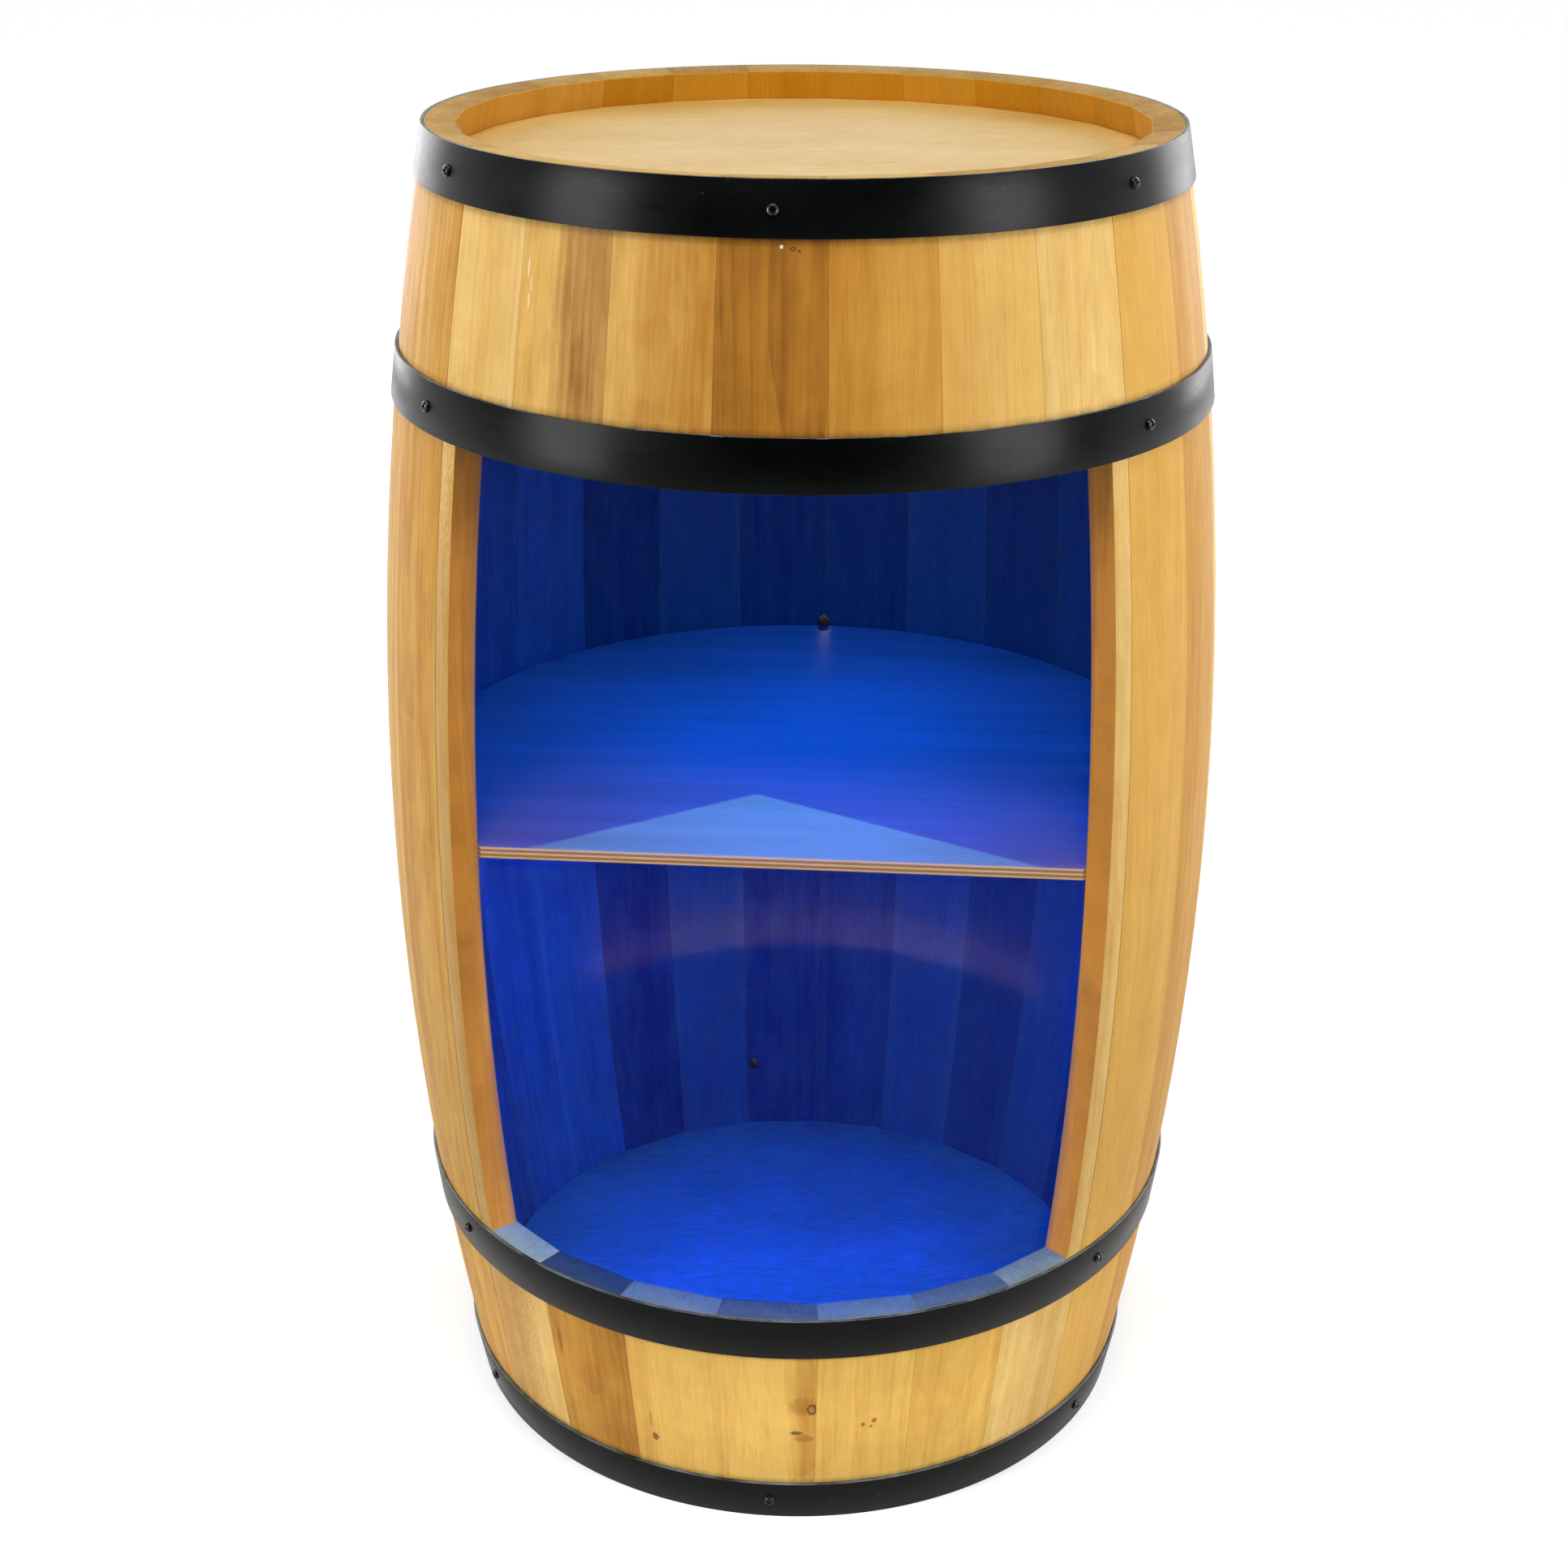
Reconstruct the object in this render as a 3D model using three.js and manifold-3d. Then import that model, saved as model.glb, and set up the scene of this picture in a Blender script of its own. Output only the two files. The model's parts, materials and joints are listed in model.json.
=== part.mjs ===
// A bar cabinet made like a small barrel: bowed staves held by four steel hoops, a recessed top,
// a floor, one plywood shelf and LED strips behind a wide opening in the front.
// Millimetres, +Z up. The opening faces -Y, and the origin is on the ground under the middle of
// the cabinet's overall width and depth, a little behind the axis of the barrel.
// Angles around the barrel are counted from the front, -Y, towards +X.

import * as THREE from 'three';
import { mergeVertices } from 'three/addons/utils/BufferGeometryUtils.js';
import Module from 'manifold-3d';

const wasm = await Module();
wasm.setup();

const degrees = Math.PI / 180;

// The barrel
const barrelHeight = 800;
const bellyRadius = 250.5;
const endRadius = 210.5;
const staveCount = 25;
const staveThickness = 18;
const rimFall = 2; // the top ends of the staves slope down towards the inside
const seamGap = 0.3;
const fitGap = 0.3;
const cutOverrun = 5;

// The hoops
const hoopWidth = 28;
const hoopThickness = 2;
const endHoopInset = 0.5; // from the rim to the top hoop, and from the ground to the bottom hoop
const upperHoopDrop = 122.6; // from the rim to the top edge of the upper middle hoop
const lowerHoopRise = 132; // from the ground to the bottom edge of the lower middle hoop

// The opening, cut between the two middle hoops
const openingHalfAngle = 47.2 * degrees;

// The two heads, each with a tongue round its edge that stands in a groove in the staves
const headThickness = 15;
const tongueThickness = 9;
const headMargin = 0.8; // between the staves and the board above and below the tongue
const topHeadDrop = 19; // from the rim to the face of the top head
const floorRise = 31; // from the ground to the face of the floor
const grooveDepth = 4;

// The shelf and the glue blocks under it
const shelfThickness = 7;
const shelfRise = 384; // from the floor to the face of the shelf
const shelfNotchWidth = 8;
const shelfNotchDepth = 11;
const blockWidth = 36;
const blockHeight = 18;
const blockDepth = 14;
const blockToe = 5; // thickness left at the bottom of a block's sloping face
const blockStaves = [5, 10, -10, -5];

// The cable holes through the back wall
const cableHoleRadius = 4;
const upperHoleRise = 2; // centre above the face of the shelf
const lowerHoleRise = 45; // centre above the floor
const lowerHoleAngle = -167 * degrees;

// The screws that hold the hoops: one in every fourth stave, counted both ways from the front,
// and each set a little to one side of the middle of its stave
const screwPitch = 4;
const topScrewLead = 2.2 * degrees;
const middleScrewLead = 2.9 * degrees;
const bottomScrewLead = -2.6 * degrees;
const screwHeadRadius = 3.25;
const screwHeadHeight = 2.2;
const screwRimHeight = 1; // straight part of the edge of the head
const screwCrownRadius = 2.1;
const screwShankRadius = 1.6;
const screwShankLength = 13;
const screwTipRadius = 0.5;
const screwTipLength = 4;
const driveWidth = 0.9;
const driveLength = 3.6;
const driveDepth = 1.3;

// The lighting
const ledStripWidth = 10;
const ledStripThickness = 3;
const upperStripSetback = 6; // above the top of the opening
const upperStripShortfall = 4.2 * degrees; // between each end of the strip and the opening's side
const lowerStripInset = 12; // behind the front edge of the shelf
const lowerStripShortfall = 20; // between each end of the strip and the shelf's corner
const controllerLength = 62;
const controllerWidth = 35;
const controllerHeight = 18;
const controllerCorner = 4;
const controllerSetback = 30; // behind the upper strip

// How finely the curves are cut
const bendSteps = 10;
const facetsPerStave = 3;
const screwSides = 8;
const holeSides = 12;
const arcSegments = 20;
const cornerSegments = 3;
const weldDistance = 0.0001;

// Everything below is worked out from the sizes above
const staveAngle = 2 * Math.PI / staveCount;
const halfStave = staveAngle / 2;
const flatsToCorners = 1 / Math.cos(halfStave);
const bulge = bellyRadius - endRadius;
const bendStep = barrelHeight / bendSteps;

const topHeadFace = barrelHeight - topHeadDrop;
const shelfFace = floorRise + shelfRise;
const shelfUnderside = shelfFace - shelfThickness;
const openingBottom = lowerHoopRise + hoopWidth;
const openingTop = barrelHeight - upperHoopDrop - hoopWidth;

// The end hoops have a screw in the front as well, and show all their screws.
// The middle hoops show the two screws beside the opening; the holes for the rest are there.
const hoops = [
  { name: 'hoop_top', bottom: barrelHeight - endHoopInset - hoopWidth, lead: topScrewLead, atEnd: true },
  { name: 'hoop_upper', bottom: openingTop, lead: middleScrewLead, atEnd: false },
  { name: 'hoop_lower', bottom: lowerHoopRise, lead: middleScrewLead, atEnd: false },
  { name: 'hoop_bottom', bottom: endHoopInset, lead: bottomScrewLead, atEnd: true },
];

const cableHoles = [
  { angle: Math.PI, height: shelfFace + upperHoleRise },
  { angle: lowerHoleAngle, height: floorRise + lowerHoleRise },
];

// How far a height is from the belly: -1 at the ground, 1 at the rim
function rise(z) {
  return 2 * z / barrelHeight - 1;
}

// The outside of the wood follows one bend, cut into straight steps
function bendAt(z) {
  return bellyRadius - bulge * rise(z) ** 2;
}

function outerRadiusAt(z) {
  const step = Math.min(Math.max(Math.floor(z / bendStep), 0), bendSteps - 1);
  const below = bendAt(step * bendStep);
  const above = bendAt((step + 1) * bendStep);
  return below + (above - below) * (z / bendStep - step);
}

function innerRadiusAt(z) {
  return outerRadiusAt(z) - staveThickness;
}

function slopeAt(z) {
  return Math.atan(4 * bulge * rise(z) / barrelHeight);
}

// Geometry helpers
function point(radius, z) {
  return new THREE.Vector2(radius, z);
}

function turned(profile, segments) {
  const geometry = new THREE.LatheGeometry(profile, segments, -halfStave);
  return geometry.rotateX(Math.PI / 2);
}

function extruded(shape, bottom, top, curveSegments = arcSegments) {
  const geometry = new THREE.ExtrudeGeometry(shape, { depth: top - bottom, bevelEnabled: false, curveSegments });
  return geometry.translate(0, 0, bottom);
}

function solid(geometry) {
  const bare = geometry.clone();
  bare.deleteAttribute('normal');
  bare.deleteAttribute('uv');
  const merged = mergeVertices(bare, weldDistance);
  return new wasm.Manifold(new wasm.Mesh({
    numProp: 3,
    vertProperties: new Float32Array(merged.attributes.position.array),
    triVerts: new Uint32Array(merged.index.array),
  }));
}

function geometryOf(manifold) {
  const mesh = manifold.getMesh();
  const geometry = new THREE.BufferGeometry();
  geometry.setAttribute('position', new THREE.BufferAttribute(new Float32Array(mesh.vertProperties), 3));
  geometry.setIndex(new THREE.BufferAttribute(new Uint32Array(mesh.triVerts), 1));
  geometry.computeVertexNormals();
  return geometry;
}

function polygon(corners) {
  return new THREE.Shape(corners.map(([x, y]) => new THREE.Vector2(x, y)));
}

function disc(radius, bottom, top) {
  const profile = [point(0, bottom), point(radius, bottom), point(radius, top), point(0, top)];
  return turned(profile, staveCount * facetsPerStave);
}

function slab(bottom, top) {
  const reach = 2 * bellyRadius;
  return extruded(polygon([[-reach, -reach], [reach, -reach], [reach, reach], [-reach, reach]]), bottom, top);
}

function sector(halfAngle, apex) {
  const reach = 2 * bellyRadius;
  const x = reach * Math.sin(halfAngle);
  const y = -apex - reach * Math.cos(halfAngle);
  return polygon([[0, -apex], [x, y], [-x, y]]);
}

function radialHole(radius, angle, z) {
  const length = staveThickness + 2 * cutOverrun;
  const hole = new THREE.CylinderGeometry(radius, radius, length, holeSides);
  hole.translate(0, -outerRadiusAt(z) + staveThickness / 2, 0);
  return hole.translate(0, 0, z).rotateZ(angle);
}

// Finishes
function finish(color, roughness, metalness) {
  return new THREE.MeshStandardMaterial({ color, roughness, metalness, flatShading: true });
}

const staveWoods = [
  finish('#d9ad6a', 0.55, 0),
  finish('#c99a55', 0.55, 0),
  finish('#e2bd80', 0.55, 0),
  finish('#b07a3a', 0.55, 0),
  finish('#d2a35c', 0.55, 0),
];
const headBoard = finish('#dec487', 0.6, 0);
const plywood = finish('#d8bf90', 0.6, 0);
const blockWood = finish('#cfae78', 0.7, 0);
const blackSteel = finish('#141617', 0.42, 0.6);
const screwSteel = finish('#0e0f10', 0.35, 0.9);
const ledSleeve = finish('#dfe7f5', 0.35, 0);
const controllerCase = finish('#f0f0ee', 0.45, 0);

// The opening brings the front of the cabinet nearer the axis than its back
const frontReach = Math.max(outerRadiusAt(openingBottom), outerRadiusAt(openingTop)) + fitGap + hoopThickness;
const cabinet = new THREE.Group();
const barrel = new THREE.Group();
barrel.position.y = (frontReach - bellyRadius) / 2;
cabinet.add(barrel);

function piece(name, geometry, material, parent = barrel) {
  const mesh = new THREE.Mesh(geometry, material);
  mesh.name = name;
  parent.add(mesh);
  return mesh;
}

function sideAt(angle) {
  const side = new THREE.Group();
  side.rotation.z = angle;
  barrel.add(side);
  return side;
}

// The staves are cut from one turned shell: round outside, flat on the inside of each stave
function staveShell() {
  const outside = [point(0, 0)];
  const inside = [point(0, -cutOverrun), point(innerRadiusAt(0), -cutOverrun)];
  for (let step = 0; step <= bendSteps; step += 1) {
    const z = step * bendStep;
    outside.push(point(outerRadiusAt(z), z));
    inside.push(point(innerRadiusAt(z), z));
  }
  outside.push(point(endRadius - staveThickness, barrelHeight - rimFall), point(0, barrelHeight - rimFall));
  inside.push(point(innerRadiusAt(barrelHeight), barrelHeight + cutOverrun), point(0, barrelHeight + cutOverrun));
  const hollow = turned(inside, staveCount).scale(flatsToCorners, flatsToCorners, 1);
  return solid(turned(outside, staveCount * facetsPerStave)).subtract(solid(hollow));
}

// A tongue stands in the middle of the thickness of its head
function tongue(face, clearance) {
  const middle = face - headThickness / 2;
  const reach = tongueThickness / 2 + clearance;
  return solid(disc(innerRadiusAt(middle) + grooveDepth + clearance, middle - reach, middle + reach));
}

const plainStave = staveShell()
  .subtract(tongue(topHeadFace, fitGap))
  .subtract(tongue(floorRise, fitGap))
  .intersect(solid(extruded(sector(halfStave, seamGap / 2 / Math.sin(halfStave)), 0, barrelHeight)));

// A screw lies along its own Z, with the underside of its head at zero
function shankProfile(clearance) {
  const shank = screwShankRadius + clearance;
  return [
    point(0, -screwShankLength - clearance),
    point(screwTipRadius + clearance, -screwShankLength - clearance),
    point(shank, -screwShankLength + screwTipLength),
    point(shank, 0),
  ];
}

function screwBody() {
  const profile = [
    ...shankProfile(0),
    point(screwHeadRadius, 0),
    point(screwHeadRadius, screwRimHeight),
    point(screwCrownRadius, screwHeadHeight),
    point(0, screwHeadHeight),
  ];
  const slot = new THREE.BoxGeometry(driveLength, driveWidth, 2 * driveDepth).translate(0, 0, screwHeadHeight);
  return solid(turned(profile, screwSides))
    .subtract(solid(slot))
    .subtract(solid(slot.clone().rotateZ(Math.PI / 2)));
}

function screwHole() {
  const shank = screwShankRadius + fitGap;
  return turned([...shankProfile(fitGap), point(shank, cutOverrun), point(0, cutOverrun)], screwSides);
}

// Where a screw sits on a hoop at the front: square to the sloping strip, on its outer face
function onHoop(object, hoop) {
  const z = hoop.bottom + hoopWidth / 2;
  const seat = outerRadiusAt(z) + fitGap + hoopThickness + fitGap;
  object.rotation.x = Math.PI / 2 - slopeAt(z);
  object.position.set(0, -seat, z);
  object.updateMatrix();
  return object;
}

function screwHoleOn(hoop) {
  return screwHole().applyMatrix4(onHoop(new THREE.Object3D(), hoop).matrix);
}

function screwsOf(hoop) {
  const screws = [];
  for (let place = -2; place <= 3; place += 1) {
    const stave = place * screwPitch;
    if (stave !== 0 || hoop.atEnd) {
      screws.push({ stave, angle: stave * staveAngle - Math.sign(place) * hoop.lead });
    }
  }
  return screws;
}

function holesFor(stave) {
  const angle = stave * staveAngle;
  const holes = [];
  for (const hoop of hoops) {
    for (const screw of screwsOf(hoop).filter((one) => one.stave === stave)) {
      holes.push(screwHoleOn(hoop).rotateZ(screw.angle - angle));
    }
  }
  const near = halfStave + Math.asin(cableHoleRadius / innerRadiusAt(floorRise));
  for (const hole of cableHoles) {
    const turn = hole.angle - angle;
    const local = Math.atan2(Math.sin(turn), Math.cos(turn));
    if (Math.abs(local) < near) {
      holes.push(radialHole(cableHoleRadius, local, hole.height));
    }
  }
  return holes;
}

function drilled(body, holes) {
  return holes.reduce((left, hole) => left.subtract(solid(hole)), body);
}

// Hang the staves round the barrel, the front ones sawn short above and below the opening
const firstFull = Math.floor(openingHalfAngle / staveAngle + 1 / 2) + 1;
const lastStave = (staveCount - 1) / 2;
const openingBlade = extruded(sector(openingHalfAngle, 0), openingBottom, openingTop);

for (let stave = -lastStave; stave <= lastStave; stave += 1) {
  const angle = stave * staveAngle;
  const side = sideAt(angle);
  const body = drilled(plainStave, holesFor(stave));
  const wood = staveWoods[(stave + staveCount) % staveWoods.length];
  if (Math.abs(stave) >= firstFull) {
    const count = stave > 0 ? stave : stave + staveCount;
    piece(`stave_${count - firstFull + 1}`, geometryOf(body), wood, side);
  } else if (Math.abs(angle) + halfStave > openingHalfAngle) {
    const blade = solid(openingBlade.clone().rotateZ(-angle));
    piece(stave < 0 ? 'jamb_stave_left' : 'jamb_stave_right', geometryOf(body.subtract(blade)), wood, side);
  } else {
    const lower = body.intersect(solid(slab(-cutOverrun, openingBottom)));
    const upper = body.intersect(solid(slab(openingTop, barrelHeight + cutOverrun)));
    piece(`short_stave_lower_${stave + firstFull - 1}`, geometryOf(lower), wood, side);
    piece(`short_stave_upper_${stave + firstFull - 1}`, geometryOf(upper), wood, side);
  }
}

// The hoops, drilled for their screws
const screwShape = geometryOf(screwBody());

for (const hoop of hoops) {
  const top = hoop.bottom + hoopWidth;
  const seatBottom = outerRadiusAt(hoop.bottom) + fitGap;
  const seatTop = outerRadiusAt(top) + fitGap;
  const strip = turned([
    point(seatBottom, hoop.bottom),
    point(seatBottom + hoopThickness, hoop.bottom),
    point(seatTop + hoopThickness, top),
    point(seatTop, top),
    point(seatBottom, hoop.bottom),
  ], staveCount * facetsPerStave);
  const screws = screwsOf(hoop);
  const holes = screws.map((screw) => screwHoleOn(hoop).rotateZ(screw.angle));
  piece(hoop.name, geometryOf(drilled(solid(strip), holes)), blackSteel);

  const shown = screws.filter((screw) => hoop.atEnd || Math.abs(screw.stave) === screwPitch);
  shown.forEach((screw, index) => {
    onHoop(piece(`${hoop.name}_screw_${index + 1}`, screwShape, screwSteel, sideAt(screw.angle)), hoop);
  });
}

// The heads: boards with one flat for each stave
function board(bottom, top) {
  const radius = Math.min(innerRadiusAt(bottom), innerRadiusAt(top)) - headMargin;
  const profile = [point(0, bottom), point(radius, bottom), point(radius, top), point(0, top)];
  return solid(turned(profile, staveCount).scale(flatsToCorners, flatsToCorners, 1));
}

function headAt(face) {
  const middle = face - headThickness / 2;
  const head = tongue(face, 0).add(board(face - headThickness, middle)).add(board(middle, face));
  return geometryOf(head);
}

piece('top_head', headAt(topHeadFace), headBoard);
piece('floor_head', headAt(floorRise), headBoard);

// The shelf: a round of plywood cut straight across between the two sides of the opening
const shelfRadius = Math.min(innerRadiusAt(shelfFace), innerRadiusAt(shelfUnderside)) - fitGap;
const shelfFront = shelfRadius * Math.cos(openingHalfAngle);
const shelfOutline = new THREE.Shape();
const shelfCorner = openingHalfAngle - Math.PI / 2;
shelfOutline.absarc(0, 0, shelfRadius, shelfCorner, Math.PI - shelfCorner, false);
shelfOutline.closePath();

// A round-ended notch in the middle of the back edge lets a lead past
const notchRadius = shelfNotchWidth / 2;
const notchCentre = shelfRadius - shelfNotchDepth + notchRadius;
const notchLength = shelfThickness + 2 * cutOverrun;
const notchMiddle = shelfFace - shelfThickness / 2;
const notchEnd = new THREE.CylinderGeometry(notchRadius, notchRadius, notchLength, holeSides);
notchEnd.rotateX(Math.PI / 2).translate(0, notchCentre, notchMiddle);
const notchSides = new THREE.BoxGeometry(shelfNotchWidth, shelfNotchDepth, notchLength);
notchSides.translate(0, notchCentre + shelfNotchDepth / 2, notchMiddle);
const shelfBoard = solid(extruded(shelfOutline, shelfUnderside, shelfFace))
  .subtract(solid(notchEnd))
  .subtract(solid(notchSides));
piece('shelf', geometryOf(shelfBoard), plywood);

// Four glue blocks carry the shelf, each on the flat of one stave
const blockTop = shelfUnderside - fitGap;
const blockBack = Math.min(innerRadiusAt(blockTop), innerRadiusAt(blockTop - blockHeight)) - fitGap;
const blockProfile = polygon([
  [0, 0],
  [blockDepth, 0],
  [blockDepth, -blockToe],
  [blockToe, -blockHeight],
  [0, -blockHeight],
]);
blockStaves.forEach((stave, index) => {
  const block = extruded(blockProfile, -blockWidth / 2, blockWidth / 2).rotateX(Math.PI / 2).rotateZ(Math.PI / 2);
  const mesh = piece(`shelf_block_${index + 1}`, block, blockWood, sideAt(stave * staveAngle));
  mesh.position.set(0, -blockBack, blockTop);
});

// The upper LED strip follows the wall above the opening
const upperStripBottom = openingTop + upperStripSetback;
const upperStripTop = upperStripBottom + ledStripWidth;
const upperStripHalfAngle = openingHalfAngle - upperStripShortfall;
const stripOutside = innerRadiusAt(upperStripTop) - fitGap;
const stripInside = stripOutside - ledStripThickness;
const stripStart = -Math.PI / 2 - upperStripHalfAngle;
const stripEnd = -Math.PI / 2 + upperStripHalfAngle;
const stripOutline = new THREE.Shape();
stripOutline.absarc(0, 0, stripOutside, stripStart, stripEnd, false);
stripOutline.absarc(0, 0, stripInside, stripEnd, stripStart, true);
stripOutline.closePath();
piece('led_strip_upper', extruded(stripOutline, upperStripBottom, upperStripTop), ledSleeve);

// The lower one runs under the front edge of the shelf
const lowerStripLength = 2 * (shelfRadius * Math.sin(openingHalfAngle) - lowerStripShortfall);
const lowerStrip = new THREE.BoxGeometry(lowerStripLength, ledStripWidth, ledStripThickness);
const lowerStripY = -shelfFront + lowerStripInset + ledStripWidth / 2;
const lowerStripZ = shelfUnderside - fitGap - ledStripThickness / 2;
piece('led_strip_lower', lowerStrip, ledSleeve).position.set(0, lowerStripY, lowerStripZ);

// The controller hangs under the top head, behind the upper strip
const caseX = controllerLength / 2 - controllerCorner;
const caseY = controllerWidth / 2 - controllerCorner;
const caseOutline = new THREE.Shape();
[[caseX, caseY], [-caseX, caseY], [-caseX, -caseY], [caseX, -caseY]].forEach(([x, y], quarter) => {
  const start = quarter * Math.PI / 2;
  caseOutline.absarc(x, y, controllerCorner, start, start + Math.PI / 2, false);
});
caseOutline.closePath();
const controllerTop = topHeadFace - headThickness - fitGap;
const controller = extruded(caseOutline, controllerTop - controllerHeight, controllerTop, cornerSegments);
const controllerY = -stripInside + controllerSetback + controllerWidth / 2;
piece('led_controller', controller, controllerCase).position.set(0, controllerY, 0);

export default cabinet;
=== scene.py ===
# Looks of a barrel bar cabinet: honey-coloured staves in black hoops, a tray on top, a plywood shelf
# and blue light inside. Metres, +Z up, the opening faces -Y.
# Angles round the barrel are counted from the front, -Y, towards +X.

import json
import math

import bmesh
import bpy
import numpy as np
from mathutils import Matrix, Vector

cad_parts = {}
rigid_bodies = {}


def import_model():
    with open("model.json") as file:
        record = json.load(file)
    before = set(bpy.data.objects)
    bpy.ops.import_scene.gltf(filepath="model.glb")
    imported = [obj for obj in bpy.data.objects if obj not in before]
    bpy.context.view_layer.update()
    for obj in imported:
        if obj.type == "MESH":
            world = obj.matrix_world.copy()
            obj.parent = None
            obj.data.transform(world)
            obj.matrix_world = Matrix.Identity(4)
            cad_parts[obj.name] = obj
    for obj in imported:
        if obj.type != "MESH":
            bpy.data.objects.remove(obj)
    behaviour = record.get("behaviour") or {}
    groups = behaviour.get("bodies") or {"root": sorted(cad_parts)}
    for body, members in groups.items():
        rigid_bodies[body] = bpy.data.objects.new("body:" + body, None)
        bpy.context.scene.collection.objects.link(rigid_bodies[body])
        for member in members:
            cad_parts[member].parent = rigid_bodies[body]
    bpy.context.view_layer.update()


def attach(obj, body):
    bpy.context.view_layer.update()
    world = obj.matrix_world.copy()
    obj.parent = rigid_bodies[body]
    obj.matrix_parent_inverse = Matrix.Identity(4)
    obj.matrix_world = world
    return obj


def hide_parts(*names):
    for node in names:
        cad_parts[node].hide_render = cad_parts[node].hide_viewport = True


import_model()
bpy.ops.object.select_all(action="DESELECT")

# The staves: 25 bowed boards of honey-coloured hardwood, sawn with tapered edges, bent and glued
# edge to edge. Each has a groove across its inside near both ends for the heads, and its ends are
# eased by sanding. The blank is modelled once, at the front, and copied round the barrel.
MM = 0.001
AXIS_Y = -6.004 * MM  # the opening brings the front of the cabinet nearer the axis than its back
BARREL_HEIGHT = 800 * MM
BELLY_RADIUS = 250.4 * MM
END_RADIUS = 210.4 * MM
STAVE_COUNT = 25
STAVE_THICKNESS = 18 * MM
STAVE_FACETS = 6
BEND_STEPS = 25
SEAM_GAP = 0.12 * MM
RIM_FALL = 2 * MM
END_EASE = 0.7 * MM
GROOVE_DEPTH = 4.1 * MM
TONGUE_THICKNESS = 9 * MM
HEAD_THICKNESS = 15 * MM
TOP_FACE = 781 * MM
FLOOR_FACE = 31 * MM
STAVE_ANGLE = math.tau / STAVE_COUNT
HALF_STAVE = STAVE_ANGLE / 2
FLATS_TO_CORNERS = 1 / math.cos(HALF_STAVE)
NEAR = 0.02 * MM  # what lies closer than this counts as the same place
SEAM_SLACK = 0.001  # and the same for angles, in radians


def outside(z):
    """Radius of the outside of the wood at a height."""
    return BELLY_RADIUS - (BELLY_RADIUS - END_RADIUS) * (2 * z / BARREL_HEIGHT - 1) ** 2


def inside(z):
    """Distance from the barrel's axis to the flat inside of a stave at a height."""
    return outside(z) - STAVE_THICKNESS


def polar(radius, angle, z):
    return Vector((radius * math.sin(angle), AXIS_Y - radius * math.cos(angle), z))


def pick(test, kind="verts"):
    """Selects, in edit mode, what passes the test, and nothing else."""
    modes = {"verts": "VERT", "edges": "EDGE", "faces": "FACE"}
    bpy.ops.mesh.select_mode(type=modes[kind])
    bpy.ops.mesh.select_all(action="DESELECT")
    shape = bmesh.from_edit_mesh(bpy.context.edit_object.data)
    for item in getattr(shape, kind):
        if test(item):
            item.select_set(True)
    bmesh.update_edit_mesh(bpy.context.edit_object.data)


def pick_level(z, kind="edges"):
    """Selects, in edit mode, what lies flat at a height."""
    pick(lambda item: all(abs(v.co.z - z) < NEAR for v in item.verts), kind)


def edit():
    bpy.ops.object.mode_set(mode="EDIT")


def leave():
    bpy.ops.object.mode_set(mode="OBJECT")


def close_up():
    """Turns every face outwards and leaves edit mode."""
    bpy.ops.mesh.select_all(action="SELECT")
    bpy.ops.mesh.normals_make_consistent(inside=False)
    leave()


def choose(obj):
    bpy.ops.object.select_all(action="DESELECT")
    obj.select_set(True)
    bpy.context.view_layer.objects.active = obj


def settle(name):
    """Names the active object and puts its place into its mesh."""
    bpy.ops.object.transform_apply(location=True, rotation=True, scale=True)
    obj = bpy.context.object
    obj.name = obj.data.name = name
    return obj


def apply_modifiers(obj):
    choose(obj)
    for modifier in list(obj.modifiers):
        bpy.ops.object.modifier_apply(modifier=modifier.name)


def smooth(piece, degrees):
    """Shades a piece smooth, apart from edges that turn by more than the angle."""
    choose(piece)
    bpy.ops.object.shade_smooth_by_angle(angle=math.radians(degrees))


def cut(piece, cutter):
    """Takes the cutter out of the piece, and then deletes the cutter."""
    modifier = piece.modifiers.new("cut", "BOOLEAN")
    modifier.operation = "DIFFERENCE"
    modifier.solver = "EXACT"
    modifier.object = cutter
    apply_modifiers(piece)
    bpy.data.objects.remove(cutter)


def resize(x, y, z=1.0, centre=(0, AXIS_Y, 0)):
    bpy.ops.transform.resize(value=(x, y, z), center_override=centre)


def extrude_up(rise):
    bpy.ops.mesh.extrude_region_move(TRANSFORM_OT_translate={"value": (0, 0, rise)})


def swing(angle):
    """Turns what is selected round the axis of the barrel, towards +X."""
    bpy.ops.transform.rotate(value=-angle, orient_axis="Z", center_override=(0, AXIS_Y, 0))


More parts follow.
